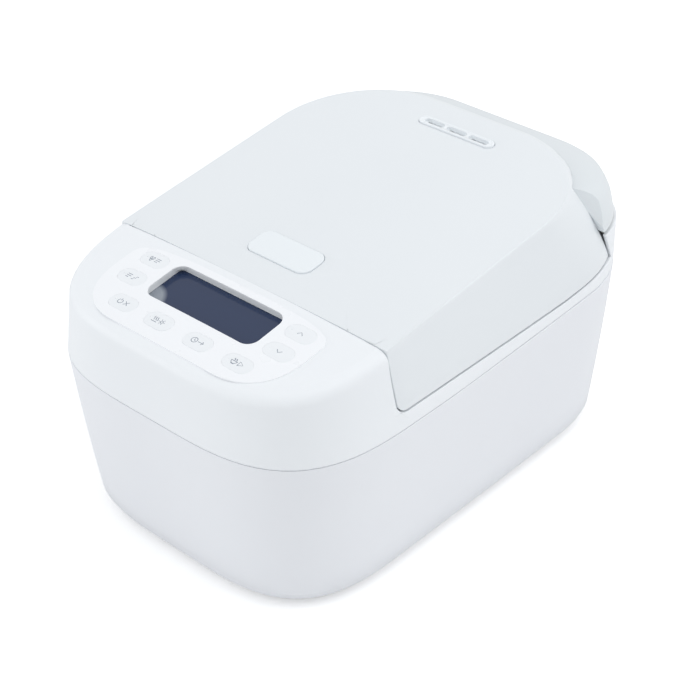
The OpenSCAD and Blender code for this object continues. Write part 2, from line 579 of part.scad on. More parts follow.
// the lid, less the part that the hinge cover takes
module lid_region() difference() {
    children();
    behind(0, cover_top + 0.3);
}
module lid_shell() color("whitesmoke") difference() {
    union() {
        lid_region() difference() {
            intersection() { lid_form(0, 0); lid_profile(0); }
            intersection() { lid_form(case_wall, 6); lid_profile(case_wall); }
        }
        intersection() {
            lid_form(1, 0);
            for (p = boss_at) translate([p.x, y_lid + p.y, lid_base_top + 0.1])
                cylinder(r = 4, h = 90, $fn = 24);
        }
    }
    for (p = boss_at) translate([p.x, y_lid + p.y, deck_z]) cylinder(r = 1.8, h = 18, $fn = 24);
    on_lid(1, button_y, -12) plate(button_w + 0.8, button_l + 0.8, 8.4, 24);
    on_lid(vent_x, vent_y, -12) slot(cap_w + 0.6, cap_l + 0.6, 24);
    translate([0, y_lid, hook_z + 1]) cube([hook_w + 2, 20, 13], center = true);
    // ribs' notches under the front edge
    for (s = [-1, 1], k = [1:3]) translate([s * (24 + 26 * k), y_lid + 9, deck_z - 1])
        hull() for (u = [-1, 1]) translate([6 * u, 0, 0]) cylinder(r = 1.6, h = 3, $fn = 16);
}
function cover_ring(q, o) = bowed(outline(body_w / 2 - q[1] - o, y_lid + 150,
    y_rear + rear_out - q[2] - o, 20, q[3] - o, q[3] - o, 2, 2));
module cover_form(o, low) {
    c = [0, y_lid + 215];
    top = cover_ring(cover_levels[7], o);
    loft(concat(low > 0 ? [at_z(cover_ring(cover_levels[0], o),
            function (p) waist_h + 46 - low)] : [],
        [for (q = cover_levels) at_z(cover_ring(q, o), function (p) waist_h + q[0] - o)],
        [for (k = [0.8, 0.5]) at_z(shrink(top, c, k),
            function (p) waist_h + 82 - o + (cover_top - 82) * (k > 0.7 ? 0.6 : 1))]),
        [c.x, c.y, waist_h + 46 - low], [c.x, c.y, waist_h + cover_top - o]);
}
module hinge_cover() color("gainsboro") intersection() {
    difference() {
        cover_form(0, 0);
        cover_form(case_wall, 6);
        for (k = [-4:4]) translate([14 * k, y_rear, waist_h + 46]) hull() for (u = [-1, 1])
            translate([2 * u, 0, -1]) cylinder(r = 1, h = 1.8, $fn = 12);
    }
    difference() {
        behind(seat, cover_top + 20);
        // room for the steam box under the lid's top
        translate([vent_x - cap_w / 2 - 5, 0, 0]) cube([cap_w + 10, stem_y - 8, 400]);
    }
}
module lid_base() color("lightgray") difference() {
    union() {
        translate([0, 0, lid_low]) linear_extrude(lid_base_t) polygon(outline(
            body_w / 2 - lean * band_h - case_wall - 1.6, y_lid + 6.6, stem_y - 10, 5, 60, 60,
            2, 2.6));
        for (s = [-1, 1]) side_plate(s * (hook_w / 2 + 4), 4, [[hook_y - 5, lid_base_top - 1],
            [hook_y + 5, lid_base_top - 1], [hook_y + 4, pivot_z + 4],
            [hook_y - 4, pivot_z + 4]]);
    }
    translate([0, hook_y, pivot_z]) rotate([0, 90, 0]) cylinder(r = 1.5, h = 60, center = true);
    for (p = boss_at) translate([p.x, y_lid + p.y, 0]) cylinder(r = 1.7, h = 400);
    translate([vent_x, duct_y, lid_low - 1]) cylinder(r = 6.5, h = 6);
}
module lid_screws() color("silver") for (p = boss_at)
    translate([p.x, y_lid + p.y, lid_low - 1.6]) {
        cylinder(r = 3.2, h = 1.6);
        cylinder(r = 1.6, h = 1.6 + lid_base_t + 7);
    }
module lid_heater() color("silver") at_pot(lid_base_top) tube(60, 16, 1.2);
module lid_sensor() color("ivory") at_pot(lid_base_top) cylinder(r = 7, h = 6);
module pot_gasket() color("lightgray") at_pot() rotate_extrude($fn = 96) {
    translate([pot_out - 5.5, rim_z + seat]) square([rim_w + 1.5, 1.6]);
    translate([pot_out - 5, rim_z + seat + 1.5]) square([6.5, lid_low - rim_z - seat - 1.5]);
}
module inner_lid() color("silver") at_pot(lid_low - 1.3) difference() {
    cylinder(r = pot_out - 5.2, h = 1.2);
    translate([vent_x, duct_y - pot_y, -1]) cylinder(r = 5, h = 4);
}

// ---- steam vent -------------------------------------------------------------------------------
duct_y = stem_y - 25.6;
module steam_box() color("gainsboro") difference() {
    union() {
        on_lid(vent_x, vent_y, -27) translate([-cap_w / 2 - 4, -34, 0])
            cube([cap_w + 8, 43, 24]);
        translate([vent_x, duct_y, lid_base_top])
            cylinder(r = 9, h = lid_z([vent_x, duct_y]) - 23.3 - lid_base_top);
    }
    on_lid(vent_x, vent_y, -25) translate([-cap_w / 2 - 2.2, -32.2, 0])
        cube([cap_w + 4.4, 39.4, 30]);
    translate([vent_x, duct_y, lid_base_top - 1]) cylinder(r = 6.5, h = 60);
}
module steam_cap() color("whitesmoke") on_lid(vent_x, vent_y) difference() {
    translate([0, 0, -24.6]) bar(cap_w, cap_l, 24.6 + cap_up);
    translate([0, 0, -26]) bar(cap_w - 3, cap_l - 3, 25);
    translate([0, 0, 0.4]) bar(cap_w - 3.2, cap_l - 3.2, 5);
    for (s = [-1, 0, 1]) translate([s * 21.8, 0, -3]) bar(15, 3.4, 10);
    for (s = [-1, 1]) translate([s * 18, -5, -20]) cube([14, 10, 8], center = true);
}

// ---- lid button and latch ---------------------------------------------------------------------
hook_z = waist_h + 35.5;
hook_y = y_lid + 15.2;
pivot_z = waist_h + 26;
lever_z = waist_h + 50;
lever_y = y_lid + button_y;
module latch_catch() color("silver") intersection() {
    difference() {
        translate([0, y_lid, catch_z]) cube([hook_w + 16, 12, 16], center = true);
        translate([0, y_lid - 1.5, catch_z]) cube([hook_w + 4, 5, 9], center = true);
        swing(frame_face);
    }
    translate([-100, y_lid - 4.5, 0]) cube([200, 30, 400]);
}
module latch_pin() color("silver") translate([0, hook_y, pivot_z]) rotate([0, 90, 0])
    cylinder(r = 1.5, h = hook_w + 14, center = true);
module latch_hook() color("silver") difference() {
    union() {
        side_plate(0, hook_w, [[y_lid + 1.2, hook_z - 3.5], [hook_y - 3, hook_z - 3.5],
            [hook_y - 3, pivot_z], [hook_y + 3, pivot_z], [hook_y + 4, hook_z],
            [lever_y - 5, lever_z - 5], [lever_y + 5, lever_z - 5], [lever_y + 5, lever_z],
            [lever_y - 8, lever_z], [hook_y, hook_z + 5], [hook_y - 3, hook_z + 3.5],
            [y_lid + 1.2, hook_z + 3.5]]);
        translate([-hook_w / 2, hook_y, pivot_z]) rotate([0, 90, 0])
            cylinder(r = 4, h = hook_w);
    }
    translate([0, hook_y, pivot_z]) rotate([0, 90, 0]) cylinder(r = 1.55, h = 60, center = true);
}
stem_top = -6;
module lid_button() color("white") on_lid(1, button_y) {
    translate([0, 0, stem_top]) block(button_w, button_l, 8, 0.6 - stem_top);
    translate([0, 0, stem_low]) cylinder(r = 4, h = stem_top - stem_low + e);
}
stem_low = lever_z + 0.8 - lid_z([1, y_lid + button_y]);
guide_low = -13.5;
module button_guide() color("lightgray") on_lid(1, button_y) difference() {
    translate([0, 0, guide_low]) block(button_w + 7, button_l + 7, 10, -guide_low - 4.3);
    translate([0, 0, guide_low + 2]) block(button_w + 3, button_l + 3, 8, 20);
    translate([0, 0, guide_low - 1]) cylinder(r = 4.05, h = 20);
}
module button_spring() color("silver") on_lid(1, button_y) rotate_extrude() for (k = [0:3])
    translate([6, guide_low + 2 + 0.7 + k * (stem_top - guide_low - 3.4) / 3])
    circle(r = 0.6, $fn = 16);

lower_case();
upper_frame();
base_plate();
feet();
base_screws();
pot_well();
well_ring();
inner_pot();
coil_holder();
bottom_coil();
side_coil();
ferrite_bars();
sensor_holder();
pot_sensor();
sensor_spring();
power_board();
heat_sink();
capacitors();
fan_frame();
fan_rotor();
control_board();
display_module();
display_window();
panel_sheet();
key_left_rear();
key_left_front();
key_up();
key_down();
key_front_1();
key_front_2();
key_front_3();
key_start();
latch_catch();
power_inlet();
inlet_pins();
hinge_bracket();
hinge_pin();
hinge_springs();
lid_shell();
hinge_cover();
lid_base();
lid_heater();
lid_sensor();
inner_lid();
pot_gasket();
steam_box();
steam_cap();
lid_screws();
hinge_arms();
latch_pin();
latch_hook();
lid_button();
button_guide();
button_spring();
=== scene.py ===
# %% [markdown]
# A white induction rice cooker: a rounded case with a sloping key panel in front and a
# hinged lid behind it. The solids of the cooker come in as a fixed frame, in metres, with
# the front towards -Y and up along +Z. Everything added here sits on that frame.

# %% Load the frame
import math
import json
import bmesh
import bpy
from mathutils import Matrix, Vector

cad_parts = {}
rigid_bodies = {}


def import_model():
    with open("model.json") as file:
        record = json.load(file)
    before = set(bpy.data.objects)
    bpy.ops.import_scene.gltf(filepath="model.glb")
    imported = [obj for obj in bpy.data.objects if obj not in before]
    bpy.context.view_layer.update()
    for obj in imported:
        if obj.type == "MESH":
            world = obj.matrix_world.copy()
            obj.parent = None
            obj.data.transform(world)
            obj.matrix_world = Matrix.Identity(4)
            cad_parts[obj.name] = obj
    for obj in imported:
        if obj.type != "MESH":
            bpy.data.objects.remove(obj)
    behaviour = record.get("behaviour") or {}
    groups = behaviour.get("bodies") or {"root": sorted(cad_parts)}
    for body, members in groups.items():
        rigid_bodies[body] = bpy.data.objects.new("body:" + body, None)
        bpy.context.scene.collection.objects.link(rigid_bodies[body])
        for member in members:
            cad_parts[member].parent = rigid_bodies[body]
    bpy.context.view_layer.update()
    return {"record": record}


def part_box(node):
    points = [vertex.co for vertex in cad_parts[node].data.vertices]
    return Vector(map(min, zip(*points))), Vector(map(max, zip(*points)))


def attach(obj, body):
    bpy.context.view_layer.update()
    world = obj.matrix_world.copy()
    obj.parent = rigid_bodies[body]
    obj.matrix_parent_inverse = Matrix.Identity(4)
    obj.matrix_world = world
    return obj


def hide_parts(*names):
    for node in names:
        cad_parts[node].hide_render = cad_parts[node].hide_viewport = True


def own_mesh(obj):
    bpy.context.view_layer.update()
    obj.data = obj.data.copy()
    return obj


MM = 0.001
pot_y = 18.8        # the pot's upright axis, behind the middle
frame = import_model()

# %% [markdown]
# The camera comes first, because every later choice is judged through it. It looks down
# at the cooker's front right corner through a fairly long lens, as a catalogue view does.
# Its three directions are written out as columns, so nothing has to be aimed.

# %% Camera
cam_data = bpy.data.cameras.new("camera")
cam_data.sensor_width = 36
cam_data.lens = 94.28
cam_data.clip_start, cam_data.clip_end = 0.05, 20
cam = bpy.data.objects.new("camera", cam_data)
bpy.context.collection.objects.link(cam)
right = Vector((0.736386, 0.676260, -0.020186))
up = Vector((-0.368537, 0.425967, 0.826276))
back = right.cross(up)
place = Matrix((right, up, back)).transposed().to_4x4()
place.translation = Vector((0.756743, -0.805395, 0.842698))
cam.matrix_world = place
bpy.context.scene.camera = cam
print("camera at", [round(v, 3) for v in cam.location])

# %% [markdown]
# A white object on white needs very even light: a bright sky all round does most of the
# work, a little stronger towards two corners, and three large soft lamps give the slow
# change of tone from top to side. The camera, gloss and glass see a plain white
# background instead, so it adds no light of its own to the matt surfaces.

# %% World and lamps
def calc(nt, how, *feeds):
    """A Math node fed with numbers or other nodes' outputs. Gives back its own output."""
    node = nt.nodes.new("ShaderNodeMath")
    node.operation = how
    for socket, feed in zip(node.inputs, feeds):
        if isinstance(feed, (int, float)):
            socket.default_value = feed
        else:
            nt.links.new(feed, socket)
    return node.outputs[0]


sky_strength = 0.78
scene = bpy.context.scene
scene.view_settings.view_transform = "Standard"
world = bpy.data.worlds.new("studio")
scene.world = world
world.use_nodes = True
nt = world.node_tree
nt.nodes.clear()
out = nt.nodes.new("ShaderNodeOutputWorld")
sky = nt.nodes.new("ShaderNodeBackground")
sky.inputs[0].default_value = (0.97, 0.985, 1.0, 1)
way = nt.nodes.new("ShaderNodeTexCoord")
apart = nt.nodes.new("ShaderNodeSeparateXYZ")
nt.links.new(way.outputs["Generated"], apart.inputs[0])
skew = calc(nt, "MULTIPLY", apart.outputs["X"], apart.outputs["Y"])
corners = calc(nt, "MULTIPLY_ADD", skew, 0.5, sky_strength)
nt.links.new(calc(nt, "MULTIPLY_ADD", apart.outputs["Y"], -0.1, corners), sky.inputs[1])
paper = nt.nodes.new("ShaderNodeBackground")
paper.inputs[0].default_value = (1, 1, 1, 1)
paper.inputs[1].default_value = 1.0
path = nt.nodes.new("ShaderNodeLightPath")
seen = calc(nt, "MAXIMUM", path.outputs["Is Camera Ray"], path.outputs["Is Transmission Ray"])
seen = calc(nt, "MAXIMUM", seen, path.outputs["Is Glossy Ray"])
pick = nt.nodes.new("ShaderNodeMixShader")
nt.links.new(seen, pick.inputs[0])
nt.links.new(sky.outputs[0], pick.inputs[1])
nt.links.new(paper.outputs[0], pick.inputs[2])
nt.links.new(pick.outputs[0], out.inputs[0])


def soft_lamp(name, at, aim, size, power):
    data = bpy.data.lights.new(name, "AREA")
    data.size, data.energy = size, power
    lamp = bpy.data.objects.new(name, data)
    bpy.context.collection.objects.link(lamp)
    lamp.location = at
    lamp.rotation_mode = "QUATERNION"
    lamp.rotation_quaternion = (Vector(at) - Vector(aim)).to_track_quat("Z", "Y")


soft_lamp("overhead", (0.5, 0.3, 1.6), (0, 0, 0.2), 1.4, 5.5)
soft_lamp("left_front", (-1.7, -1.5, 0.7), (0, 0, 0.1), 1.2, 5.5)
soft_lamp("right_side", (1.7, 1.5, 1.2), (0, 0, 0.15), 1.2, 4)

# %% [markdown]
# The table top is one pale sheet. To the camera it is plain paper white, darkened only by
# the cooker's own shadow, so a diffuse surface is mixed with a little emission.

# %% Table top
bpy.ops.object.select_all(action="DESELECT")
bpy.ops.mesh.primitive_plane_add(size=8, location=(0, 0, -0.0005))
floor = bpy.context.object
floor.name = "table_top"
fm = bpy.data.materials.new("pale_table")
fm.use_nodes = True
nt = fm.node_tree
b = nt.nodes["Principled BSDF"]
b.inputs["Base Color"].default_value = (0.93, 0.93, 0.93, 1)
b.inputs["Roughness"].default_value = 0.9
lift = nt.nodes.new("ShaderNodeEmission")
only = nt.nodes.new("ShaderNodeLightPath")
both = nt.nodes.new("ShaderNodeAddShader")
nt.links.new(calc(nt, "MULTIPLY", only.outputs["Is Camera Ray"], 0.3), lift.inputs["Strength"])
nt.links.new(b.outputs[0], both.inputs[0])
nt.links.new(lift.outputs[0], both.inputs[1])
nt.links.new(both.outputs[0], nt.nodes["Material Output"].inputs["Surface"])
floor.data.materials.append(fm)

# %% [markdown]
# Nothing on a real appliance is one flat colour. Every finish here is built from the same
# few ideas: a very broad, faint drift of tone, a fine grain that breaks up the gloss, and a
# tiny relief. All patterns are laid in the piece's own coordinates, so they never slide.

# %% Colour helper
def srgb(r, g, b):
    def lin(v):
        v /= 255.0
        return v / 12.92 if v <= 0.04045 else ((v + 0.055) / 1.055) ** 2.4
    return (lin(r), lin(g), lin(b), 1.0)


def shade(c, k):
    return tuple(min(1.0, v * k) for v in c[:3]) + (1.0,)


class Finish:
    """A material with its own pattern nodes, built up one line at a time."""

    def __init__(self, name, colour, rough, metal=0.0):
        self.mat = bpy.data.materials.new(name)
        self.mat.use_nodes = True
        self.nt = self.mat.node_tree
        self.skin = self.nt.nodes["Principled BSDF"]
        self.skin.inputs["Metallic"].default_value = metal
        self.skin.inputs["Roughness"].default_value = rough
        self.skin.inputs["Base Color"].default_value = colour
        self.colour, self.rough = colour, rough
        self.place = self.nt.nodes.new("ShaderNodeTexCoord").outputs["Object"]

    def add(self, kind, **values):
        node = self.nt.nodes.new("ShaderNode" + kind)
        for k, v in values.items():
            if k in node.inputs:
                node.inputs[k].default_value = v
            else:
                setattr(node, k, v)
        return node

    def link(self, a, b):
        self.nt.links.new(a, b)

    def stretched(self, x, y, z):
        m = self.add("Mapping")
        m.inputs["Scale"].default_value = (x, y, z)
        self.link(self.place, m.inputs["Vector"])
        return m.outputs[0]

    def noise(self, scale, detail=3.0, source=None):
        n = self.add("TexNoise", Scale=scale, Detail=detail)
        self.link(source or self.place, n.inputs["Vector"])
        return n.outputs["Fac"]

    def ramp(self, fac, low, high, a=0.0, b=1.0):
        r = self.nt.nodes.new("ShaderNodeValToRGB")
        r.color_ramp.elements[0].position, r.color_ramp.elements[1].position = a, b
        r.color_ramp.elements[0].color, r.color_ramp.elements[1].color = low, high
        self.link(fac, r.inputs["Fac"])
        return r.outputs["Color"]

    def tone(self, scale, spread, source=None, detail=3.0, warm=1.0):
        """Lets the colour drift by spread either way."""
        low = shade(self.colour, 1 - spread)
        high = shade(self.colour, 1 + spread)
        low = (low[0], low[1], min(1.0, low[2] * warm), 1)
        self.link(self.ramp(self.noise(scale, detail, source), low, high, 0.3, 0.7),
                  self.skin.inputs["Base Color"])

    def gloss(self, scale, spread, source=None):
        m = self.add("MapRange")
        m.inputs["From Min"].default_value, m.inputs["From Max"].default_value = 0.3, 0.7
        m.inputs["To Min"].default_value = max(0.02, self.rough - spread)
        m.inputs["To Max"].default_value = min(1.0, self.rough + spread)
        self.link(self.noise(scale, 4.0, source), m.inputs["Value"])
        self.link(m.outputs[0], self.skin.inputs["Roughness"])

    def relief(self, scale, strength, depth=0.0001, source=None):
        b = self.add("Bump", Strength=strength, Distance=depth)
        self.link(self.noise(scale, 3.0, source), b.inputs["Height"])
        self.link(b.outputs["Normal"], self.skin.inputs["Normal"])


def moulded(name, colour, rough, grain=2600, relief=0.05, drift=0.008):
    f = Finish(name, colour, rough)
    f.tone(7, drift, warm=1.003)
    f.gloss(55, 0.04)
    f.relief(grain, relief, 0.00006)
    return f.mat


finish = {}
finish["case_white"] = moulded("case_white", srgb(237, 239, 243), 0.42, relief=0.09)
finish["frame_white"] = moulded("frame_white", srgb(241, 244, 247), 0.36)
finish["lid_white"] = moulded("lid_white", srgb(233, 237, 240), 0.34)
# the hinge cover's white is painted darker than the lid's, as painted shade on its top, which
# faces the rear
finish["cover_white"] = moulded("cover_white", srgb(224, 229, 232), 0.38)
finish["panel_sheet"] = moulded("panel_sheet", srgb(246, 248, 251), 0.3, 4200, 0.07, 0.004)
finish["key_white"] = moulded("key_white", srgb(240, 243, 246), 0.33, 4200, 0.07, 0.004)
finish["button_white"] = moulded("button_white", srgb(238, 243, 246), 0.33)
finish["cap_white"] = moulded("cap_white", srgb(240, 244, 247), 0.32)
finish["lid_grey"] = moulded("lid_grey", srgb(206, 209, 212), 0.45)
finish["base_grey"] = moulded("base_grey", srgb(196, 199, 203), 0.55, relief=0.14)
finish["holder_ivory"] = moulded("holder_ivory", srgb(226, 220, 200), 0.5)
finish["well_grey"] = moulded("well_grey", srgb(150, 153, 156), 0.5)
finish["ring_grey"] = moulded("ring_grey", srgb(120, 123, 127), 0.5)
finish["black_plastic"] = moulded("black_plastic", srgb(34, 35, 37), 0.45, drift=0.06)
print(len(finish), "moulded finishes")

# %% [markdown]
# Metals are told apart by their gloss more than by their colour. Drawn and rolled parts get
# streaks along one direction, made by squeezing the pattern's space; cast and coated parts
# get an even grain.

# %% Metals
def drawn(name, colour, rough, streak=(900, 900, 12), spread=0.1):
    f = Finish(name, colour, rough, 1.0)
    along = f.stretched(*streak)
    f.tone(1.0, 0.06, along)
    f.gloss(1.0, spread, along)
    f.relief(1.0, 0.12, 0.00002, along)
    return f.mat


finish["steel"] = drawn("steel", srgb(196, 198, 200), 0.32)
finish["spring_steel"] = drawn("spring_steel", srgb(168, 170, 174), 0.26, (1500, 1500, 300))
finish["aluminium"] = drawn("aluminium", srgb(208, 210, 212), 0.3, (12, 900, 900))
finish["copper"] = drawn("copper", srgb(196, 116, 72), 0.34, (500, 500, 2600), 0.12)
finish["contact_brass"] = drawn("contact_brass", srgb(200, 168, 96), 0.3, (900, 20, 900))


def turned(name, colour, rough, scale):
    """Fine rings about the pot's axis, as spinning or polishing leaves."""
    f = Finish(name, colour, rough, 1.0)
    off = f.add("VectorMath", operation="SUBTRACT")
    off.inputs[1].default_value = (0, pot_y * MM, 0)
    flat = f.add("VectorMath", operation="MULTIPLY")
    flat.inputs[1].default_value = (1, 1, 0)
    away = f.add("VectorMath", operation="LENGTH")
    ring = f.add("CombineXYZ")
    f.link(f.place, off.inputs[0])
    f.link(off.outputs[0], flat.inputs[0])
    f.link(flat.outputs[0], away.inputs[0])
    f.link(away.outputs["Value"], ring.inputs["X"])
    f.tone(scale, 0.05, ring.outputs[0])
    f.gloss(scale, 0.08, ring.outputs[0])
    f.relief(scale, 0.1, 0.00002, ring.outputs[0])
    return f.mat


finish["spun_aluminium"] = turned("spun_aluminium", srgb(210, 212, 214), 0.3, 1500)
f = Finish("pot_coating", srgb(62, 62, 64), 0.4, 0.25)
f.tone(900, 0.28, detail=6)
f.gloss(320, 0.08)
f.relief(1600, 0.16, 0.00004)
finish["pot_coating"] = f.mat
f = Finish("ferrite", srgb(46, 46, 48), 0.7)
f.tone(700, 0.25)
f.relief(1500, 0.35)
finish["ferrite"] = f.mat
print("metals done,", len(finish), "finishes so far")

# %% [markdown]
# Rubber and silicone scatter light and pick up dust, so they are rough with a little sheen.
# The circuit boards get a pattern of straight tracks under their green varnish, and the
# wound parts get a fibre grain.

# %% Soft and electrical finishes
def soft(name, colour, rough):
    f = Finish(name, colour, rough)
    f.tone(60, 0.04)
    f.relief(1900, 0.22)
    f.skin.inputs["Sheen Weight"].default_value = 0.12
    f.skin.inputs["Sheen Roughness"].default_value = 0.5
    return f.mat


finish["rubber_grey"] = soft("rubber_grey", srgb(96, 98, 100), 0.75)
finish["gasket"] = soft("gasket", srgb(214, 217, 219), 0.55)
f = Finish("board_green", srgb(22, 84, 52), 0.35)
tracks = f.add("TexBrick", Scale=130.0)
tracks.inputs["Mortar Size"].default_value = 0.03
tracks.inputs["Color1"].default_value = srgb(20, 78, 48)
tracks.inputs["Color2"].default_value = srgb(26, 90, 56)
tracks.inputs["Mortar"].default_value = srgb(52, 124, 74)
f.link(f.place, tracks.inputs["Vector"])
f.link(tracks.outputs["Color"], f.skin.inputs["Base Color"])
f.gloss(90, 0.06)
finish["board_green"] = f.mat
f = Finish("part_brown", srgb(120, 78, 48), 0.4)
f.tone(220, 0.12)
f.relief(900, 0.1)
finish["part_brown"] = f.mat
print(len(finish), "finishes")

# %% [markdown]
# The display window is a tinted glossy sheet over a dark, bluish liquid-crystal plate. The
# plate carries a very fine dot matrix, which only shows close up. One corner of the window
# is paler: a painted reflection of a round soft lamp, whose edge is a distance from one point.

# %% Display finishes
f = Finish("display", srgb(58, 74, 96), 0.35)
dots = f.add("TexVoronoi", Scale=1400.0, distance="CHEBYCHEV", Randomness=0.0)
f.link(f.place, dots.inputs["Vector"])
f.link(f.ramp(dots.outputs["Distance"], srgb(64, 82, 104), srgb(46, 60, 82), 0.3, 0.6),
       f.skin.inputs["Base Color"])
f.gloss(60, 0.05)
finish["display"] = f.mat
f = Finish("window", srgb(36, 52, 84), 0.06)
# painted reflection: a paler round patch, the mirror image of a soft lamp, laid into the window's
# colour
reflection_reach = f.add("VectorMath", operation="DISTANCE")
reflection_reach.inputs[1].default_value = (-0.053, -0.1495, 0.1828)
f.link(f.place, reflection_reach.inputs[0])
f.link(f.ramp(reflection_reach.outputs["Value"], srgb(146, 153, 163), f.colour, 0.0183, 0.0188),
       f.skin.inputs["Base Color"])
f.gloss(30, 0.015)
f.skin.inputs["Specular IOR Level"].default_value = 0.35
finish["window"] = f.mat
finish["print_grey"] = moulded("print_grey", srgb(128, 138, 152), 0.5, 5000, 0.03, 0.05)
# the grey of the strip under the hinge cover is painted shade, the tone of the gap's shaded inside
finish["gap_shade_grey"] = moulded("gap_shade_grey", srgb(158, 160, 154), 0.6, relief=0.12)
finish["liner_grey"] = moulded("liner_grey", srgb(240, 242, 243), 0.5)

# %% [markdown]
# The nodes that stay in view keep their exact solids, and take a small round on their sharp
# edges, which is where moulded and pressed parts catch the light. Their triangles come in
# loose, so a weld goes before the round. Turned parts wear rings about the pot's axis.

# %% Dress the nodes
own = {"inner_lid": "spun_aluminium", "lid_heater": "spun_aluminium",
       "pot_sensor": "spun_aluminium"}
rounded = {"power_inlet": 0.5, "hinge_bracket": 0.4, "hinge_arms": 0.4, "latch_catch": 0.25,
           "latch_hook": 0.3, "feet": 0.5, "lid_base": 0.3, "button_guide": 0.25,
           "steam_box": 0.3, "capacitors": 0.3, "base_plate": 0.3, "inlet_pins": 0.5,
           "base_screws": 0.3, "coil_holder": 0.3}
subparts = frame["record"]["subparts"]
for row in subparts:
    node = bpy.data.objects[row["node"]]
    node.data.materials.clear()
    node.data.materials.append(finish[own.get(row["node"], row["material_slot"])])
for name, width in rounded.items():
    node = bpy.data.objects[name]
    weld = node.modifiers.new("weld", "WELD")
    weld.merge_threshold = 0.00002
    edge = node.modifiers.new("edge", "BEVEL")
    edge.width, edge.segments, edge.limit_method = width * MM, 2, "ANGLE"
    edge.angle_limit = math.radians(40)
    edge.use_clamp_overlap = True
print(len(subparts), "nodes wear their finish,", len(rounded), "have rounded edges")


def wear(o, body, kind):
    """A finished piece gets its finish and rides on its body."""
    o.data.materials.clear()
    o.data.materials.append(finish[kind])
    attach(o, body)


def dress(o, node, body, slot):
    """A finished piece takes the place of a node, in its finish, on its body."""
    wear(o, body, slot)
    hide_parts(node)

# %% [markdown]
# The case, frame and lid are soft rounded forms whose outline changes slowly with height.
# Sculpting would never keep the seams parallel, and a subdivided box would lose the tight
# corners. So each outline is written as a rule, a circle is laid at its lowest level, and
# it is extruded upwards ring by ring, with each new ring set onto the rule.

# %% Sizes of the outer forms, in millimetres
half_w, y_front, y_rear, y_lid = 135.0, -194.0, 190.8, -99.2
waist, deck, rim = 130.0, 142.0, 172.0
hinge_y, hinge_z = 172.8, 190.0
wall = 2.5
panel_rise, panel_slope = 64.9, 0.156       # at the lid's front edge, over the waist
lid_rise, lid_slope, lid_bend = 62.4, 0.124, 41600
crown = 6180    # a point x off the middle lies x * x / crown lower
window = (103, 36.6, 9)                     # width, length and corner of the display opening
window_at, button_at, vent_at = (0.5, -31), (1, 37.6), (3.3, 217.2)
STEPS = 26      # points in each corner
SIDES = 12      # points along each side
print("outline points:", 4 * (STEPS + 1) + 2 * (SIDES - 1))


# %% Outlines
def se(v, n):
    return max(0.0, v) ** (2.0 / n)


def corner():
    """Angles that crowd towards both ends, where the outline is flattest."""
    return [math.radians(45 - 45 * math.cos(math.pi * i / STEPS)) for i in range(STEPS + 1)]


def outline(a, yf, yb, rf, rx, ry, nf, nr):
    ts = corner()
    pts = [(a - rx + rx * se(math.cos(t), nr), yb - ry + ry * se(math.sin(t), nr)) for t in ts]
    pts += [(-(a - rx + rx * se(math.sin(t), nr)), yb - ry + ry * se(math.cos(t), nr))
            for t in ts]
    lo, hi = yf + rf, yb - ry
    pts += [(-a, hi + (lo - hi) * j / SIDES) for j in range(1, SIDES)]
    pts += [(-(a - rf + rf * se(math.cos(t), nf)), yf + rf - rf * se(math.sin(t), nf))
            for t in ts]
    pts += [(a - rf + rf * se(math.sin(t), nf), yf + rf - rf * se(math.cos(t), nf)) for t in ts]
    pts += [(a, lo + (hi - lo) * j / SIDES) for j in range(1, SIDES)]
    return pts


def bowed(pts):
    return [(x * (1 - (max(0.0, y - y_lid - 80) / 150) ** 2 / 135), y) for x, y in pts]


def frame_outline(h, o=0.0):
    f, d = h / 42.0, 0.11 * h + o
    return bowed(outline(half_w - d, y_front + d, y_rear + 3.2 * f - o, 118 - d,
                         78 - 6 * f - o, 83 - 11 * f - o, 3.1, 2.3 - 0.12 * f))


def case_outline(o):
    return bowed(outline(half_w - o, y_front + o, y_rear - o, 118 - o, 78 - o, 83 - o,
                         3.1, 2.3))


def rise(y):
    return 7.9 * max(0.0, y - y_lid - 60) / 230


def gap_z(y):
    return deck + 6.4 * min(1.0, max(0.0, y - y_lid - 180) / 68) ** 1.5


def panel_z(x, y):
    return waist + panel_rise + panel_slope * (y - y_lid) - x * x / crown


def lid_edge_z(y):
    return waist + lid_rise + lid_slope * (y - y_lid) - (y - y_lid) ** 2 / lid_bend


def lid_z(x, y):
    return lid_edge_z(y) + 2.5 - x * x / crown


def lid_tilt(u):
    return math.atan(lid_slope - 2 * u / lid_bend)


def at(pts, zf):
    return [(x, y, zf(x, y)) for x, y in pts]


def shrink(pts, c, k):
    return [(c[0] + (p[0] - c[0]) * k, c[1] + (p[1] - c[1]) * k) for p in pts]


def frame_ring(o, hf):
    lo, hi = frame_outline(0, o), frame_outline(60, o)
    ring = []
    for p, q in zip(lo, hi):
        h = hf(p[0], p[1])
        ring.append((p[0] + (q[0] - p[0]) * h / 60, p[1] + (q[1] - p[1]) * h / 60, waist + h))
    return ring


print("waist outline:", len(case_outline(0)), "points, lid gap at the rear", gap_z(150))


# %% [markdown]
# These helpers do the work that hands would do in edit mode. One lays a circle and extrudes
# it ring by ring. One draws a side view and extrudes it across the cooker, which makes the
# knives for the seams. The others make a box, cut or join two pieces, round the sharp
# edges, and give a face that lies on a known surface that surface's own normals.

# %% Helpers for edit mode
def start():
    if bpy.context.object and bpy.context.object.mode != "OBJECT":
        bpy.ops.object.mode_set(mode="OBJECT")
    bpy.ops.object.select_all(action="DESELECT")


def place_selected(bm, ids, ring):
    """Moves the points just extruded from the points ids onto the ring, and returns them."""
    bm.verts.ensure_lookup_table()
    new = []
    for i, p in zip(ids, ring):
        v = next(e.other_vert(bm.verts[i]) for e in bm.verts[i].link_edges
                 if e.other_vert(bm.verts[i]).select)
        v.co = Vector(p) * MM
        new.append(v.index)
    return new


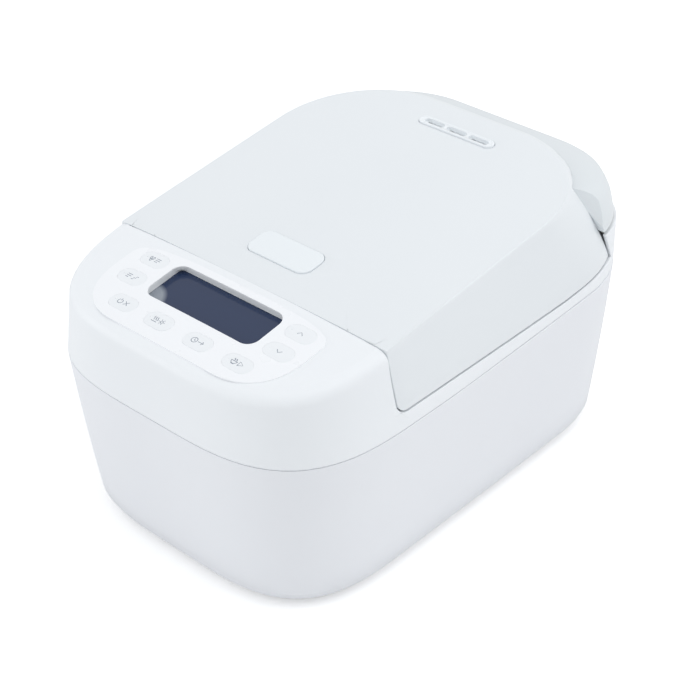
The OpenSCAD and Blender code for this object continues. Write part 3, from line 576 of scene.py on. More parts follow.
def stack(name, rings, ends="capped"):
    """A form through the rings. ends is capped, or joined for an endless wall."""
    start()
    bpy.ops.mesh.primitive_circle_add(vertices=len(rings[0]), radius=0.1)
    o = bpy.context.object
    o.name = o.data.name = name
    bpy.ops.object.mode_set(mode="EDIT")
    bm = bmesh.from_edit_mesh(o.data)
    bm.verts.ensure_lookup_table()
    for v, p in zip(bm.verts, rings[0]):
        v.co = Vector(p) * MM
    ids = list(range(len(rings[0])))
    first = ids
    bmesh.update_edit_mesh(o.data)
    for ring in rings[1:]:
        bpy.ops.mesh.extrude_region_move()
        bm = bmesh.from_edit_mesh(o.data)
        bm.verts.index_update()
        ids = place_selected(bm, ids, ring)
        bmesh.update_edit_mesh(o.data)
    if ends == "capped":
        bpy.ops.mesh.extrude_region_move()
        bpy.ops.mesh.merge(type="CENTER")
        bpy.ops.mesh.select_all(action="DESELECT")
        bm = bmesh.from_edit_mesh(o.data)
        bm.verts.ensure_lookup_table()
        for i in first:
            bm.verts[i].select = True
        bm.select_flush(True)
        bmesh.update_edit_mesh(o.data)
        bpy.ops.mesh.extrude_region_move()
        bpy.ops.mesh.merge(type="CENTER")
    else:
        bpy.ops.mesh.select_all(action="DESELECT")
        bm = bmesh.from_edit_mesh(o.data)
        bm.verts.ensure_lookup_table()
        for group in (first, ids):
            chosen = set(group)
            for i in group:
                for e in bm.verts[i].link_edges:
                    if e.other_vert(bm.verts[i]).index in chosen:
                        e.select = True
        bmesh.update_edit_mesh(o.data)
        bpy.ops.mesh.bridge_edge_loops()
    bpy.ops.mesh.select_all(action="SELECT")
    bpy.ops.mesh.normals_make_consistent(inside=False)
    bpy.ops.object.mode_set(mode="OBJECT")
    return o


def across(name, pts, wide=400):
    """A side view in y and z, extruded across the cooker from side to side."""
    start()
    bpy.ops.mesh.primitive_circle_add(vertices=len(pts), radius=0.1)
    o = bpy.context.object
    o.name = name
    bpy.ops.object.mode_set(mode="EDIT")
    bm = bmesh.from_edit_mesh(o.data)
    bm.verts.ensure_lookup_table()
    for v, p in zip(bm.verts, pts):
        v.co = Vector((-wide / 2, p[0], p[1])) * MM
    bmesh.update_edit_mesh(o.data)
    bpy.ops.mesh.edge_face_add()
    bpy.ops.mesh.extrude_region_move(TRANSFORM_OT_translate={"value": (wide * MM, 0, 0)})
    bpy.ops.mesh.select_all(action="SELECT")
    bpy.ops.mesh.normals_make_consistent(inside=False)
    bpy.ops.object.mode_set(mode="OBJECT")
    return o


def box(name, lo, hi):
    start()
    mid = [(a + b) / 2 * MM for a, b in zip(lo, hi)]
    bpy.ops.mesh.primitive_cube_add(size=1, location=mid)
    o = bpy.context.object
    o.name = name
    o.scale = [(b - a) * MM for a, b in zip(lo, hi)]
    bpy.ops.object.transform_apply(location=True, rotation=True, scale=True)
    return o


def cut(o, tool, how="DIFFERENCE"):
    """Cuts the tool away from the piece, or joins them, and removes the tool."""
    start()
    bpy.context.view_layer.objects.active = o
    m = o.modifiers.new("cut", "BOOLEAN")
    m.operation, m.object, m.solver = how, tool, "EXACT"
    bpy.ops.object.modifier_apply(modifier=m.name)
    bpy.data.objects.remove(tool)
    return o


def finish_edges(o, width, angle=38, segments=3, smooth=32):
    """Rounds every sharp edge a little and smooths the rest."""
    start()
    bpy.context.view_layer.objects.active = o
    o.select_set(True)
    w = o.modifiers.new("weld", "WELD")
    w.merge_threshold = 0.00002
    bpy.ops.object.modifier_apply(modifier=w.name)
    m = o.modifiers.new("edge", "BEVEL")
    m.width, m.segments, m.limit_method = width * MM, segments, "ANGLE"
    m.angle_limit = math.radians(angle)
    m.use_clamp_overlap = False
    m.miter_outer = "MITER_ARC"
    bpy.ops.object.modifier_apply(modifier=m.name)
    bpy.ops.object.shade_smooth_by_angle(angle=math.radians(smooth))
    print(o.name, len(o.data.polygons), "faces")
    return o


def true_normals(o, height, off=0.3):
    """Faces that lie on a known surface take its own normals, so cuts leave no patches."""
    pts = [v.co / MM for v in o.data.vertices]
    on = [abs(p.z - height(p.x, p.y)) < off for p in pts]
    normals = [Vector((0, 0, 0))] * len(o.data.loops)
    known = 0
    for face in o.data.polygons:
        if face.normal.z < 0.9 or not all(on[i] for i in face.vertices):
            continue
        known += 1
        for i in face.loop_indices:
            x, y = pts[o.data.loops[i].vertex_index][:2]
            normals[i] = Vector((height(x - 0.5, y) - height(x + 0.5, y),
                                 height(x, y - 0.5) - height(x, y + 0.5), 1)).normalized()
    o.data.normals_split_custom_set(normals)
    print(o.name, known, "faces follow the surface")


# %% [markdown]
# The lower case is one endless wall: down inside, round the foot, and up outside. Its top
# edge is rounded over by half a millimetre, so the waist seam reads as a fine soft groove.

# %% Lower case
def narrowing(t):
    return 12.6 * (0.72 * t + 0.28 * t * t)


def case_ring(t, o, drop=0.0):
    return at(case_outline(narrowing(t) + o),
              lambda x, y: waist + rise(y) - drop - (waist + rise(y) - 3) * t)


def foot_ring(a, r, o):
    a = math.radians(a)
    return at(case_outline(12.6 + o + r * (1 - math.cos(a))), lambda x, y: 13 - r * math.sin(a))


rings = [case_ring(t, wall) for t in (0, 0.3, 0.6, 0.92)]
rings += [foot_ring(a, 7.5, wall) for a in (30, 60, 90)]
rings += [at(case_outline(40.6), lambda x, y: 5.5), at(case_outline(40.6), lambda x, y: 3)]
rings += [foot_ring(a, 10, 0) for a in (90, 78, 66, 54, 42, 30, 20, 10)]
rings += [case_ring(t, 0) for t in (0.92, 0.8, 0.68, 0.56, 0.44, 0.32, 0.2, 0.1, 0.03)]
rings += [case_ring(0, 0, 0.3), case_ring(0, 0.04, 0.12), case_ring(0, 0.13, 0.03),
          case_ring(0, 0.3, 0)]
case_skin = stack("case_skin", rings, ends="joined")
slot_z = 0.038
for i in range(9):
    start()
    bpy.ops.mesh.primitive_cylinder_add(vertices=24, radius=0.0016, depth=0.04,
                                        location=(-(20 + 7 * i) * MM, y_rear * MM, slot_z),
                                        rotation=(math.pi / 2, 0, 0))
    knife = bpy.context.object
    bpy.ops.object.transform_apply(location=True, rotation=True, scale=True)
    for v in knife.data.vertices:
        if v.co.z > slot_z:
            v.co.z += 0.024
    cut(case_skin, knife)
cut(case_skin, box("inlet_cut", (16.7, 170.8, 37.2), (51.3, 210.8, 60.8)))
finish_edges(case_skin, 0.3, angle=50)
dress(case_skin, "lower_case", "case", "case_white")

# %% [markdown]
# The frame is one white moulding: a sloping key panel in front, thin side walls that run
# back under the lid, and a deck between them. Its outside is stacked like the case's, and
# its top edge is rolled over by 7 mm. The room for the lid is cut out with a knife whose
# side view is the joint line: an arc about the hinge, a small round corner, and the deck.

# %% Frame forms
def frame_body(name, o, low, drop):
    r = 7.0

    def top(x, y):
        return panel_z(x, min(y, -70)) - waist - drop

    rings = [frame_ring(o, lambda x, y: rise(y) - low)]
    if not low > 0.5:
        rings = [frame_ring(o + 0.3, lambda x, y: rise(y) - low),
                 frame_ring(o + 0.08, lambda x, y: rise(y) - low + 0.08),
                 frame_ring(o, lambda x, y: rise(y) - low + 0.3)]
    for t in (0.1, 0.25, 0.4, 0.55, 0.7, 0.85, 1):
        rings.append(frame_ring(o, lambda x, y: (top(x, y) - r) * t + (1 - t) * rise(y)))
    for a in (11, 22, 33, 44, 55, 66, 77):
        a = math.radians(a)
        rings.append(frame_ring(o + r * (1 - math.cos(a)),
                                lambda x, y: top(x, y) - r * (1 - math.sin(a))))
    rings.append(frame_ring(o + r, top))
    edge = [(p[0], p[1]) for p in rings[-1]]
    for k in (0.985, 0.95, 0.88, 0.8, 0.7, 0.6, 0.5, 0.4, 0.3, 0.2, 0.1):
        rings.append(at(shrink(edge, (0, 0), k), lambda x, y: panel_z(x, min(y, -70)) - drop))
    return stack(name, rings)


def joint_line(rad, r, z):
    dz = hinge_z - z - r
    b = math.asin(dz / (rad - r))
    yc = hinge_y - math.sqrt((rad - r) ** 2 - dz * dz)
    pts = [(hinge_y - rad * math.cos(a), hinge_z - rad * math.sin(a))
           for a in [math.radians(-12 + 1.5 * k) for k in range(8)]]
    pts += [(hinge_y - rad * math.cos(b * k / 8), hinge_z - rad * math.sin(b * k / 8))
            for k in range(9)]
    for k in range(1, 13):
        a = b + (math.pi / 2 - b) * k / 12
        pts.append((yc - r * math.cos(a), z + r - r * math.sin(a)))
    return pts


def above_deck(d, w):
    pts = joint_line(272.6 + w, 6.7 + (1 if d > 0 else 0), deck - d)
    pts += [(y_lid + u, gap_z(y_lid + u) - d) for u in range(170, 250, 6)]
    pts += [(300, gap_z(300) - d), (300, 400), (y_lid - 8, 400)]
    return across("deck_knife", pts)


def lid_end(h):
    return y_lid + 249.3 - 0.489 * (h - 12)


def behind(s, top=200):
    return across("rear_knife", [(lid_end(-130) + s, 0), (lid_end(top) + s, waist + top),
                                 (400, waist + top), (400, 0)], 410)


def pill(w, l, r, steps=10):
    """The outline of a plate w by l with round corners of radius r."""
    pts = []
    for cx, cy, a0 in ((1, 1, 0), (-1, 1, 90), (-1, -1, 180), (1, -1, 270)):
        for i in range(steps + 1):
            a = math.radians(a0 + 90 * i / steps)
            pts.append((cx * (w / 2 - r) + r * math.cos(a), cy * (l / 2 - r) + r * math.sin(a)))
    return pts


def crowned(pts, x0, z):
    """Lays an outline about x0 at height z, bent down to the sides as the crown is."""
    return [(x, y, z - ((x0 + x) ** 2 - x0 * x0) / crown) for x, y in pts]


def plate(name, w, l, r, h, z0=0.0, steps=10):
    """A flat block with round corners, w by l by h, standing on z0."""
    start()
    pts = pill(w, l, r, steps)
    bpy.ops.mesh.primitive_circle_add(vertices=len(pts), radius=0.1)
    o = bpy.context.object
    o.name = o.data.name = name
    bpy.ops.object.mode_set(mode="EDIT")
    bm = bmesh.from_edit_mesh(o.data)
    bm.verts.ensure_lookup_table()
    for v, p in zip(bm.verts, pts):
        v.co = Vector((p[0], p[1], z0)) * MM
    bmesh.update_edit_mesh(o.data)
    bpy.ops.mesh.edge_face_add()
    bpy.ops.mesh.extrude_region_move(TRANSFORM_OT_translate={"value": (0, 0, h * MM)})
    bpy.ops.mesh.select_all(action="SELECT")
    bpy.ops.mesh.remove_doubles(threshold=0.00001)
    bpy.ops.mesh.normals_make_consistent(inside=False)
    bpy.ops.object.mode_set(mode="OBJECT")
    return o


def lay(o, m):
    """Moves a piece by the matrix m, and leaves its place in its mesh."""
    start()
    o.matrix_world = m @ o.matrix_world
    o.select_set(True)
    bpy.context.view_layer.objects.active = o
    bpy.ops.object.transform_apply(location=True, rotation=True, scale=True)
    return o


def on_panel(x=0.0, y=0.0, z=0.0):
    tilt = math.atan(panel_slope)
    return (Matrix.Translation(Vector((0, y_lid, waist + panel_rise)) * MM)
            @ Matrix.Rotation(tilt, 4, "X")
            @ Matrix.Translation(Vector((x, y / math.cos(tilt), z - x * x / crown)) * MM))


def on_lid(x, u, z=0.0):
    return (Matrix.Translation(Vector((x, y_lid + u, lid_z(x, y_lid + u))) * MM)
            @ Matrix.Rotation(lid_tilt(u), 4, "X") @ Matrix.Translation(Vector((0, 0, z)) * MM))


key_size = (24, 14, 6.999)
key_at = {"key_left_rear": (-69, -20.3), "key_left_front": (-69, -41.9), "key_up": (70.5, -20.6),
          "key_down": (70.5, -41.2), "key_front_1": (-53, -64.3), "key_front_2": (-17.8, -64.3),
          "key_front_3": (19.4, -64.3), "key_start": (56.1, -64.3)}
print("knife points:", len(joint_line(272.6, 6.7, deck)))

# %% Frame
def lid_knife():
    """The lid's own room: above the deck, behind the joint, and in front of the rear cut."""
    pts = joint_line(272.6, 11.0, deck)
    pts += [(y_lid + u, gap_z(y_lid + u)) for u in range(170, 246, 5)]
    end = lid_end(18.3) + 1
    pts += [(end, gap_z(end)), (lid_end(200) + 1, waist + 200), (y_lid - 8, waist + 200)]
    return across("lid_knife", pts)


frame_skin = frame_body("frame_skin", 0, -0.3, 0)
cut(frame_skin, lid_knife())
rear = stack("rear_room", [frame_ring(3, lambda x, y: gap_z(y) - waist + h)
                           for h in (0, 10, 20, 30, 40)])
cut(rear, box("front_part", (-200, -300, 0), (200, 20, 400)))
cut(frame_skin, rear)
cut(frame_skin, box("over", (-200, y_lid + 150, rim), (200, 300, 500)))
room = frame_body("room", wall, 5, wall)
cut(room, above_deck(3, wall))
cut(frame_skin, room)
start()
bpy.ops.mesh.primitive_cylinder_add(vertices=128, radius=0.111, depth=0.4,
                                    location=(0, pot_y * MM, 0.2))
hole = bpy.context.object
bpy.ops.object.transform_apply(location=True, rotation=True, scale=True)
cut(frame_skin, hole)
cut(frame_skin, lay(plate("window_cut", *window, 40, -20, 14), on_panel(*window_at)))
for x, u in key_at.values():
    cut(frame_skin, lay(plate("key_cut", *key_size, 12, -3.5, 12), on_panel(x, u)))
cut(frame_skin, box("catch_seat", (-18.2, y_lid - 8, 157.3), (18.2, y_lid + 8, 173.7)))
finish_edges(frame_skin, 0.5, angle=40)
true_normals(frame_skin, lambda x, y: panel_z(x, min(y, -70)))
dress(frame_skin, "upper_frame", "case", "frame_white")

# %% [markdown]
# The lid's side is not straight: it leans inwards and bulges a little under a clear crease,
# and its top is a very flat crown. The same ring method gives the crease its own rings, so
# its highlight keeps one width all the way round. The front is trimmed by the same joint
# line as the frame, a gap further in, and the rear by a slanting cut for the hinge cover.

# %% Lid forms
def lid_foot(o):
    return bowed(outline(133.48 - o, y_lid - 30, 188.3 - o, 12, 78 - o, 83 - o, 2, 2.3))


def crease(o):
    return outline(126.3 - o, y_lid - 30, 148.8 - o, 12, 85 - o, 85 - o, 2, 2)


def lid_side(t, o, drop, low=0.0):
    f = t ** 1.45
    ring = []
    for g, c in zip(lid_foot(o), crease(o)):
        z0, z1 = gap_z(g[1]) + 1.5, lid_edge_z(c[1]) - drop
        ring.append((g[0] + (c[0] - g[0]) * f, g[1] + (c[1] - g[1]) * f, z0 + (z1 - z0) * t - low))
    return ring


def lid_body(name, o, low):
    c = (0, y_lid + 110)
    if low > 0:
        rings = [lid_side(0, o, o, low), lid_side(0, o, o)]
    else:
        rings = [lid_side(0, o + 0.5, o), lid_side(0, o + 0.14, o, -0.14), lid_side(0, o, o, -0.5)]
    rings += [lid_side(t, o, o) for t in (0.08, 0.18, 0.3, 0.42, 0.54, 0.66, 0.78, 0.88, 0.94)]
    rings += [lid_side(0.985, o, o), at(crease(o + 0.35), lambda x, y: lid_edge_z(y) - o),
              at(crease(o + 0.9), lambda x, y: lid_edge_z(y) - o + 0.2),
              at(crease(o + 1.7), lambda x, y: lid_edge_z(y) - o + 0.24
                 + 0.17 * (lid_z(x, y) - lid_edge_z(y))),
              at(crease(o + 3), lambda x, y: (lid_edge_z(y) + 2 * lid_z(x, y)) / 3 - o),
              at(crease(o + 4.8), lambda x, y: (0.14 * lid_edge_z(y) + 0.86 * lid_z(x, y)) - o)]
    rings += [at(shrink(crease(o + 7), c, k), lambda x, y: lid_z(x, y) - o)
              for k in (1, 0.97, 0.9, 0.8, 0.7, 0.6, 0.5, 0.4, 0.3, 0.2, 0.1)]
    return stack(name, rings)


def lid_profile(name, o):
    z0 = 143.5 + o
    pts = joint_line(271.9 - o, 10.2 - o, z0)
    return across(name, pts + [(pts[-1][0], 0), (400, 0), (400, 400), (y_lid + 8, 400)])


def lid_box(name, o, low):
    body = lid_body(name, o, low)
    return cut(body, lid_profile("profile", o), "INTERSECT")


# %% Lid
lid_skin = lid_box("lid_skin", 0, 0)
room = lid_box("lid_room", wall, 6)
flange = behind(-2.4)
cut(flange, box("middle", (-80, -300, -10), (80, 500, 500)))
cut(room, flange)
cut(lid_skin, room)
knife = behind(0)
cut(knife, box("above", (-300, -300, waist + 84.6), (300, 500, 500)))
cut(lid_skin, knife)
cut(lid_skin, lay(plate("button_cut", 58.8, 25.8, 8.4, 24, -12, 14), on_lid(*button_at)))
cut(lid_skin, lay(plate("vent_cut", 69.8, 10.2, 5.099, 24, -12, 12), on_lid(*vent_at)))
cut(lid_skin, box("hook_slot", (-11, y_lid - 10, 160), (11, y_lid + 10, 173)))
finish_edges(lid_skin, 0.5, angle=40)
true_normals(lid_skin, lid_z)
dress(lid_skin, "lid_shell", "lid", "lid_white")

# %% [markdown]
# The hinge cover closes the rear of the lid. It is its own moulding, a soft shoulder that
# rolls from the rear wall up to the lid's top, so its rings follow a rolled section. In the
# middle it reaches in under the lid. At both sides it is solid and ends behind the lid, and
# a slanting cut brings it down to the lid's side, so no dark step shows between them.

# %% Hinge cover
# height over the waist, way in at the sides, way in at the rear, corner
levels = [(46, 3.4, 1.2, 74), (48, 3.7, 1.2, 74), (50, 4.0, 1.2, 74), (55.5, 5.0, 1.5, 74),
          (61, 6.2, 2.2, 74), (66, 7.6, 3.8, 74), (71, 9.2, 6.2, 74), (73, 10.4, 8.7, 74),
          (75, 11.8, 11.7, 74), (76.5, 13.3, 14.8, 74), (78, 15.1, 18.2, 74),
          (79, 16.9, 21.5, 73.5), (80, 18.9, 25.2, 72.5), (81, 21.8, 30, 71.5), (82, 25, 35.2, 70)]


def cover_ring(q, o):
    return bowed(outline(half_w - q[1] - o, y_lid + 150, 194 - q[2] - o, 20, q[3] - o, q[3] - o,
                         2, 2))


def cover_body(name, o, low):
    c = (0, y_lid + 215)
    top = cover_ring(levels[-1], o)
    rings = [at(cover_ring(levels[0], o), lambda x, y: waist + 46 - low)] if low else []
    rings += [at(cover_ring(q, o), lambda x, y: waist + q[0] - o) for q in levels]
    for k, f in ((0.9, 0.36), (0.8, 0.6), (0.65, 0.85), (0.5, 1), (0.3, 1)):
        rings.append(at(shrink(top, c, k), lambda x, y: waist + 82 - o + 2.3 * f))
    return stack(name, rings)


def beside(s):
    """Both sides of the room in front of the lid's rear end, s further back than the end."""
    knife = box("beside", (-200, -300, 1), (200, 200, 233))
    cut(knife, behind(s, 104.3))
    return cut(knife, box("middle", (-98, -400, -10), (98, 400, 400)))


cover_skin = cover_body("cover_skin", 0, 0)
room = cover_body("cover_room", wall, 6)
cut(room, beside(17))
cut(cover_skin, room)
cut(cover_skin, behind(-5, 104.3), "INTERSECT")
cut(cover_skin, beside(0.15))
for side in (-1, 1):
    foot, top = Vector((131.9 * side, 132.6, 176)), Vector((112.4 * side, 120.4, 201))
    along = (top - foot).normalized()
    front = along.cross(Vector((0.64 * side, 0.77, 0))).normalized() * -side
    turn = Matrix((along, front.cross(along), front)).transposed().to_4x4()
    cut(cover_skin, lay(box("shoulder", (-150, -150, 0), (150, 150, 200)),
                        Matrix.Translation(foot * MM) @ turn))
    print("shoulder faces", [round(v, 2) for v in front])
cut(cover_skin, box("vent_room", (-35, -300, -10), (42, 133.8, 400)))
finish_edges(cover_skin, 0.35, angle=40)
dress(cover_skin, "hinge_cover", "lid", "cover_white")

# %% [markdown]
# Under the cover's lower edge a grey strip fills most of the gap to the frame: it is painted
# shade, standing in for the shaded inside of the gap. It is one endless wall like the case,
# and rides on the lid, a little inside the cover.

# %% Grey strip of painted gap shade
shade_strip = stack("gap_shade_strip", [at(cover_ring((0, q, q - 2, 74), 0), lambda x, y: waist + h)
                            for q, h in ((5.2, 42.7), (5.2, 47.5), (6.9, 47.5), (6.9, 42.7))],
             ends="joined")
cut(shade_strip, behind(2, 104.3), "INTERSECT")
finish_edges(shade_strip, 0.2, angle=40, segments=1)
wear(shade_strip, "lid", "gap_shade_grey")

# %% [markdown]
# The key panel's sheet is a soft satin overlay with a rounded rim, laid on the crowned
# panel. The outline is the same rule as the frame's, so it is stacked the same way, and
# every ring keeps to the panel's own curve. A flat plate would hover over the edges.

# %% Panel sheet
def sheet_line(o):
    return outline(91 - o, y_lid - 80.5 + o, y_lid - 7 - o, 46 - o, 78 - o, 18 - o, 2.4, 3.4)


def on_crown(pts, z):
    return at(pts, lambda x, y: panel_z(x, y) + z)


middle = (0, y_lid - 44)
rings = [on_crown(shrink(sheet_line(0), middle, k), -0.3) for k in (0.5, 1)]
rings += [on_crown(sheet_line(o), z) for o, z in ((0, 0.3), (0.06, 0.48), (0.2, 0.62),
                                                  (0.45, 0.69), (0.8, 0.7))]
rings += [on_crown(shrink(sheet_line(0.8), middle, k), 0.7)
          for k in (0.97, 0.92, 0.84, 0.76, 0.68, 0.6, 0.52, 0.44, 0.36, 0.28, 0.2, 0.1)]
sheet = stack("panel_overlay", rings)
cut(sheet, lay(plate("window_cut", *window, 40, -20, 14), on_panel(*window_at)))
for x, u in key_at.values():
    cut(sheet, lay(plate("key_cut", *key_size, 12, -3.5, 12), on_panel(x, u)))
finish_edges(sheet, 0.03, angle=60, segments=1)
true_normals(sheet, lambda x, y: panel_z(x, y) + 0.7)
dress(sheet, "panel_sheet", "case", "panel_sheet")

# %% [markdown]
# The eight key pads are soft pills that rise a little over the sheet. One pad is modelled
# for each place, because the panel's crown leans a different way under each. A fine raised
# dot helps a finger find the key. Plain marks stand for what the keys do.

# %% Key pads
def rod(name, r, z0, z1, at_xy=(0, 0), sides=32):
    start()
    bpy.ops.mesh.primitive_cylinder_add(vertices=sides, radius=r * MM, depth=(z1 - z0) * MM,
                                        location=Vector((at_xy[0], at_xy[1], (z0 + z1) / 2)) * MM)
    o = bpy.context.object
    o.name = name
    bpy.ops.object.transform_apply(location=True, rotation=True, scale=True)
    return o


def key_pad(name, x0, u):
    rings = [crowned(pill(25.4, 15.4, 7.699), x0, z) for z in (-4.9, -3.95)]
    rings += [crowned(pill(24 - 2 * o, 14 - 2 * o, 6.999 - o), x0, z)
              for o, z in ((0.05, -3.9), (0.05, 0.64), (0.12, 0.7), (0.4, 0.77), (0.9, 0.86),
                           (1.6, 0.95), (2.6, 1.03), (3.8, 1.08), (5, 1.1))]
    o = stack(name, rings)
    cut(o, rod("stem", 2.5, -13.6, -4.5), "UNION")
    start()
    bpy.ops.mesh.primitive_uv_sphere_add(segments=20, ring_count=12, radius=0.55 * MM,
                                         location=Vector((-7.6, 0, 1.02)) * MM)
    dot = bpy.context.object
    bpy.ops.object.transform_apply(location=True, rotation=True, scale=True)
    cut(o, dot, "UNION")
    lay(o, on_panel(x0, u))
    finish_edges(o, 0.04, angle=55, segments=1)
    return o


for name, (x, u) in key_at.items():
    dress(key_pad("pad_" + name, x, u), name, name + "_body", "key_white")
print(len(key_at), "key pads")

# %% [markdown]
# The marks are drawn as flat strokes, each a thin round line turned into a mesh, pressed
# flat and bent over its key. Drawn lines keep an even width round a corner, which cut
# letters would not. They are arrows, a clock, a bowl and other plain signs.

# %% Key marks
def arc(cx, cy, r, a0=0, a1=360, n=24, k=1.0):
    return [(cx + r * math.cos(math.radians(a0 + (a1 - a0) * i / n)),
             cy + r * k * math.sin(math.radians(a0 + (a1 - a0) * i / n))) for i in range(n + 1)]


def wave(x, y0, y1, n=14):
    return [(x + 0.42 * math.sin(2 * math.pi * i / n), y0 + (y1 - y0) * i / n)
            for i in range(n + 1)]


sign = {
    "grain": [arc(-0.95, 0.5, 0.5, k=2), arc(0.95, 0.5, 0.5, k=2), arc(0, -1.0, 0.5, k=1.7)],
    "lines": [[(-1.6, 1.2), (1.6, 1.2)], [(-1.6, 0), (1.6, 0)], [(-1.6, -1.2), (0.5, -1.2)]],
    "steps": [[(-1.7, -1.3), (-0.6, -1.3), (-0.6, -0.1), (0.6, -0.1), (0.6, 1.2), (1.7, 1.2)]],
    "off": [arc(0, -0.1, 1.5, 120, 420), [(0, 0.5), (0, 1.9)]],
    "cross": [[(-1.3, -1.3), (1.3, 1.3)], [(-1.3, 1.3), (1.3, -1.3)]],
    "warm": [wave(-1.2, -0.7, 1.8), wave(0, -0.7, 1.8), wave(1.2, -0.7, 1.8),
             [(-1.9, -1.6), (1.9, -1.6)]],
    "sun": [arc(0, 0, 0.8)] + [[(1.3 * math.cos(a), 1.3 * math.sin(a)),
                               (1.9 * math.cos(a), 1.9 * math.sin(a))]
                              for a in [math.pi * i / 3 for i in range(6)]],
    "clock": [arc(0, 0, 1.7), [(0, 1.1), (0, 0), (0.9, -0.5)]],
    "later": [[(-1.7, 0), (1.7, 0)], [(0.6, 1.1), (1.7, 0), (0.6, -1.1)]],
    "bowl": [arc(0, 0.3, 1.8, 180, 360), [(-2.1, 0.3), (2.1, 0.3)], [(-0.9, -1.7), (0.9, -1.7)],
             wave(-0.6, 0.8, 2.0), wave(0.6, 0.8, 2.0)],
    "go": [[(-1.2, -1.5), (1.6, 0), (-1.2, 1.5), (-1.2, -1.5)]],
    "up": [[(-1.7, -0.85), (0, 0.85), (1.7, -0.85)]],
    "down": [[(-1.7, 0.85), (0, -0.85), (1.7, 0.85)]],
}
on_key = {"key_left_rear": ("grain", "lines"), "key_left_front": ("lines", "steps"),
          "key_up": ("up",), "key_down": ("down",), "key_front_1": ("off", "cross"),
          "key_front_2": ("warm", "sun"), "key_front_3": ("clock", "later"),
          "key_start": ("bowl", "go")}


def key_mark(name, x0, u, signs, high=1.1, thick=0.25):
    start()
    curve = bpy.data.curves.new(name, "CURVE")
    curve.dimensions = "3D"
    curve.bevel_depth = thick * MM
    curve.bevel_resolution = 1
    curve.use_fill_caps = True
    for i, s in enumerate(signs):
        dx = (i - (len(signs) - 1) / 2) * 5.8
        for pts in sign[s]:
            line = curve.splines.new("POLY")
            line.points.add(len(pts) - 1)
            for q, p in zip(line.points, pts):
                q.co = ((p[0] * 1.35 + dx) * MM, p[1] * 1.35 * MM, 0, 1)
    o = bpy.data.objects.new(name, curve)
    bpy.context.collection.objects.link(o)
    bpy.context.view_layer.objects.active = o
    o.select_set(True)
    bpy.ops.object.convert(target="MESH")
    o = bpy.context.object
    for v in o.data.vertices:
        x = v.co.x / MM
        v.co.z = v.co.z * 0.16 + (high - ((x0 + x) ** 2 - x0 * x0) / crown) * MM
    lay(o, on_panel(x0, u))
    bpy.ops.object.shade_smooth_by_angle(angle=math.radians(50))
    return o


for name, signs in on_key.items():
    o = key_mark("mark_" + name, *key_at[name], signs)
    wear(o, name + "_body", "print_grey")
print(len(on_key), "keys marked")

# %% [markdown]
# The display lies at the foot of a deep opening. Its walls are a separate pale grey liner
# with a soft lip, made as one endless wall, and the glass below is a rounded sheet with a
# polished edge. The liner's lip follows the crown, as the sheet does.

# %% Display opening
lip = [(102.5, -4.9), (102.6, -3), (102.7, -1.5), (102.7, 0.36), (102.74, 0.5),
       (102.84, 0.58), (102.96, 0.56), (102.99, 0.4), (102.99, -2.6), (107, -2.7), (107, -4.9)]
rings = []
for i, (w, z) in enumerate(lip):
    g = (w - 103) / 2
    pts = pill(103 + 2 * g, 36.6 + 2 * g, (4, 5, 9)[min(i, 2)] + g, 14)
    rings.append(crowned(pts, 0.5, z) if z > 0 else [(x, y, z) for x, y in pts])
liner = stack("display_liner", rings, ends="joined")
lay(liner, on_panel(*window_at))
finish_edges(liner, 0.05, angle=70, segments=1)
wear(liner, "case", "liner_grey")
rings = [[(x, y, z) for x, y in pill(106 - 2 * o, 39.6 - 2 * o, 9 - o, 14)]
         for o, z in ((0.3, -6.5), (0, -6.2), (0, -5.4), (0.12, -5.18), (0.4, -5.1), (2, -5.1))]
glass = stack("display_glass", rings)
lay(glass, on_panel(*window_at))
finish_edges(glass, 0.05, angle=70, segments=1)
dress(glass, "display_window", "case", "window")
print("display opening done")

# %% [markdown]
# The lid button is a rounded pad, nearly flush, with a soft shoulder and a faint dish for a
# finger. The dish is made by letting the inner rings sink a few tenths of a millimetre.

# %% Lid button
rings = [crowned(pill(58 - 2 * o, 25.3 - 2 * o, 8 - o, 14), 1, z)
         for o, z in ((0.3, -6), (0, -5.8), (0, -0.35), (0.08, -0.02), (0.28, 0.25), (0.6, 0.43),
                      (1.0, 0.52), (1.5, 0.55), (2.2, 0.53), (3.2, 0.46), (4.4, 0.38), (6, 0.31),
                      (7.6, 0.26))]
pad = stack("release_pad", rings)
low = 180.8 - lid_z(button_at[0], y_lid + button_at[1])
cut(pad, rod("stem", 4, low, -5.5), "UNION")
lay(pad, on_lid(*button_at))
finish_edges(pad, 0.05, angle=60, segments=1)
dress(pad, "lid_button", "button", "button_white")
print("button stem from", round(low, 2))

# %% [markdown]
# The steam cap is a long pill with a raised round rim about a sunk floor, and three slots
# through the floor let the steam out. It is hollow below and has windows near its foot.

# %% Steam cap
rings = [crowned(pill(69.2 - 2 * o, 9.6 - 2 * o, 4.799 - o, 12), 3.3, z)
         for o, z in ((0, -24.6), (0, -12), (0, 0.4), (0.1, 0.92), (0.36, 1.26), (0.75, 1.42),
                      (1.1, 1.42), (1.4, 1.3), (1.7, 1.08), (1.95, 0.9), (2.3, 0.8), (3.2, 0.8))]
cap = stack("vent_top", rings)
room = stack("room", [[(x, y, z) for x, y in pill(66, 6.6, 3.299)] for z in (-30, -4.4)])
cut(cap, room)
for s in (-1, 0, 1):
    pocket = stack("pocket", [[(x + 20.8 * s, y, z) for x, y in pill(w, l, l / 2 - 0.001)]
                              for w, l, z in ((17, 3.8, -1.7), (18, 4.8, -0.9), (18.4, 5.2, 6))])
    cut(cap, pocket)
    cut(cap, lay(plate("slit", 14, 1, 0.499, 6), Matrix.Translation((20.8 * s * MM, 0.0012,
                                                                     -0.007))))
for s in (-1, 1):
    cut(cap, box("leg_gap", (18 * s - 7, -10, -24), (18 * s + 7, 0.2, -16)))
lay(cap, on_lid(*vent_at))
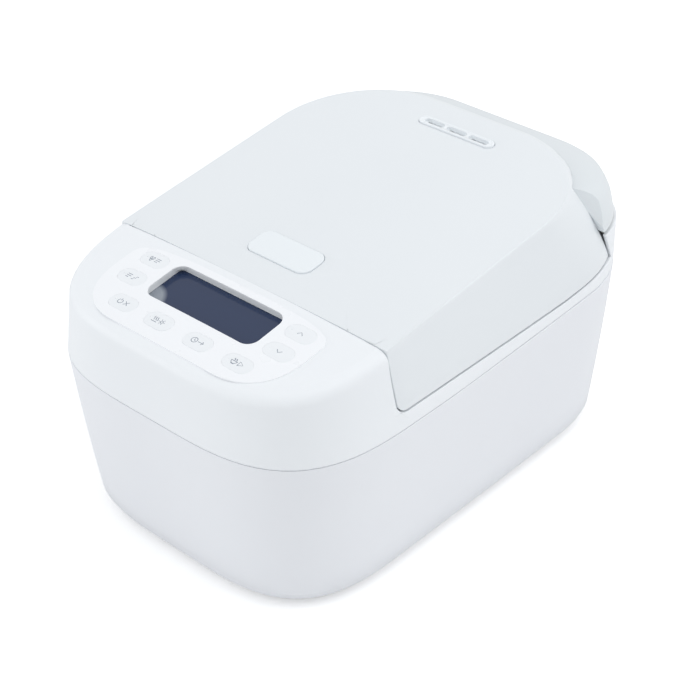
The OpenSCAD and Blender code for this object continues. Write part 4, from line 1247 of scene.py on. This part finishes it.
finish_edges(cap, 0.2, angle=40, segments=2)
dress(cap, "steam_cap", "vent_cap", "cap_white")

# %% [markdown]
# Two small wound springs push back the lid button and the pot's sensor. A wound spring is
# one small circle carried round its axis while it climbs, which the Screw modifier does.

# %% Wound springs
def wound(name, radius, wire, low, high, turns):
    start()
    bpy.ops.mesh.primitive_circle_add(vertices=10, radius=wire * MM, rotation=(math.pi / 2, 0, 0))
    o = bpy.context.object
    o.name = o.data.name = name
    bpy.ops.object.transform_apply(location=True, rotation=True, scale=True)
    for v in o.data.vertices:
        v.co += Vector((radius, 0, low + wire)) * MM
    climb = o.modifiers.new("climb", "SCREW")
    climb.iterations, climb.screw_offset = turns, (high - low - 2 * wire) / turns * MM
    climb.steps = climb.render_steps = 28
    bpy.ops.object.modifier_apply(modifier=climb.name)
    bpy.ops.object.mode_set(mode="EDIT")
    bpy.ops.mesh.select_all(action="SELECT")
    bpy.ops.mesh.fill_holes(sides=16)
    bpy.ops.mesh.select_all(action="SELECT")
    bpy.ops.mesh.normals_make_consistent(inside=False)
    bpy.ops.object.mode_set(mode="OBJECT")
    bpy.ops.object.shade_smooth_by_angle(angle=math.radians(50))
    return o


lo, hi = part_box("sensor_spring")
lo, hi = Vector(lo) / MM, Vector(hi) / MM
spring = wound("sensor_coil", (hi.x - lo.x) / 2 - 0.75, 0.75, lo.z, hi.z, 3)
lay(spring, Matrix.Translation(Vector((0, (lo.y + hi.y) / 2, 0)) * MM))
dress(spring, "sensor_spring", "case", "spring_steel")
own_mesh(spring)
lo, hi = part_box("button_spring")
lo, hi = Vector(lo) / MM, Vector(hi) / MM
seat_at = on_lid(*button_at)
mid = (seat_at.inverted() @ ((lo + hi) / 2 * MM)) / MM
lean = lid_tilt(button_at[1])
tall = (hi.z - lo.z - 2 * 6 * math.sin(lean) - 1.2) / math.cos(lean) + 1.2
spring = wound("button_coil", 6, 0.6, mid.z - tall / 2, mid.z + tall / 2, 3)
lay(spring, seat_at)
dress(spring, "button_spring", "lid", "spring_steel")
foot = seat_at @ (Vector((0, 0, mid.z - tall / 2)) * MM)
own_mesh(spring)
print("springs:", round(hi.z - lo.z, 2), "and", round(tall, 2), "tall")
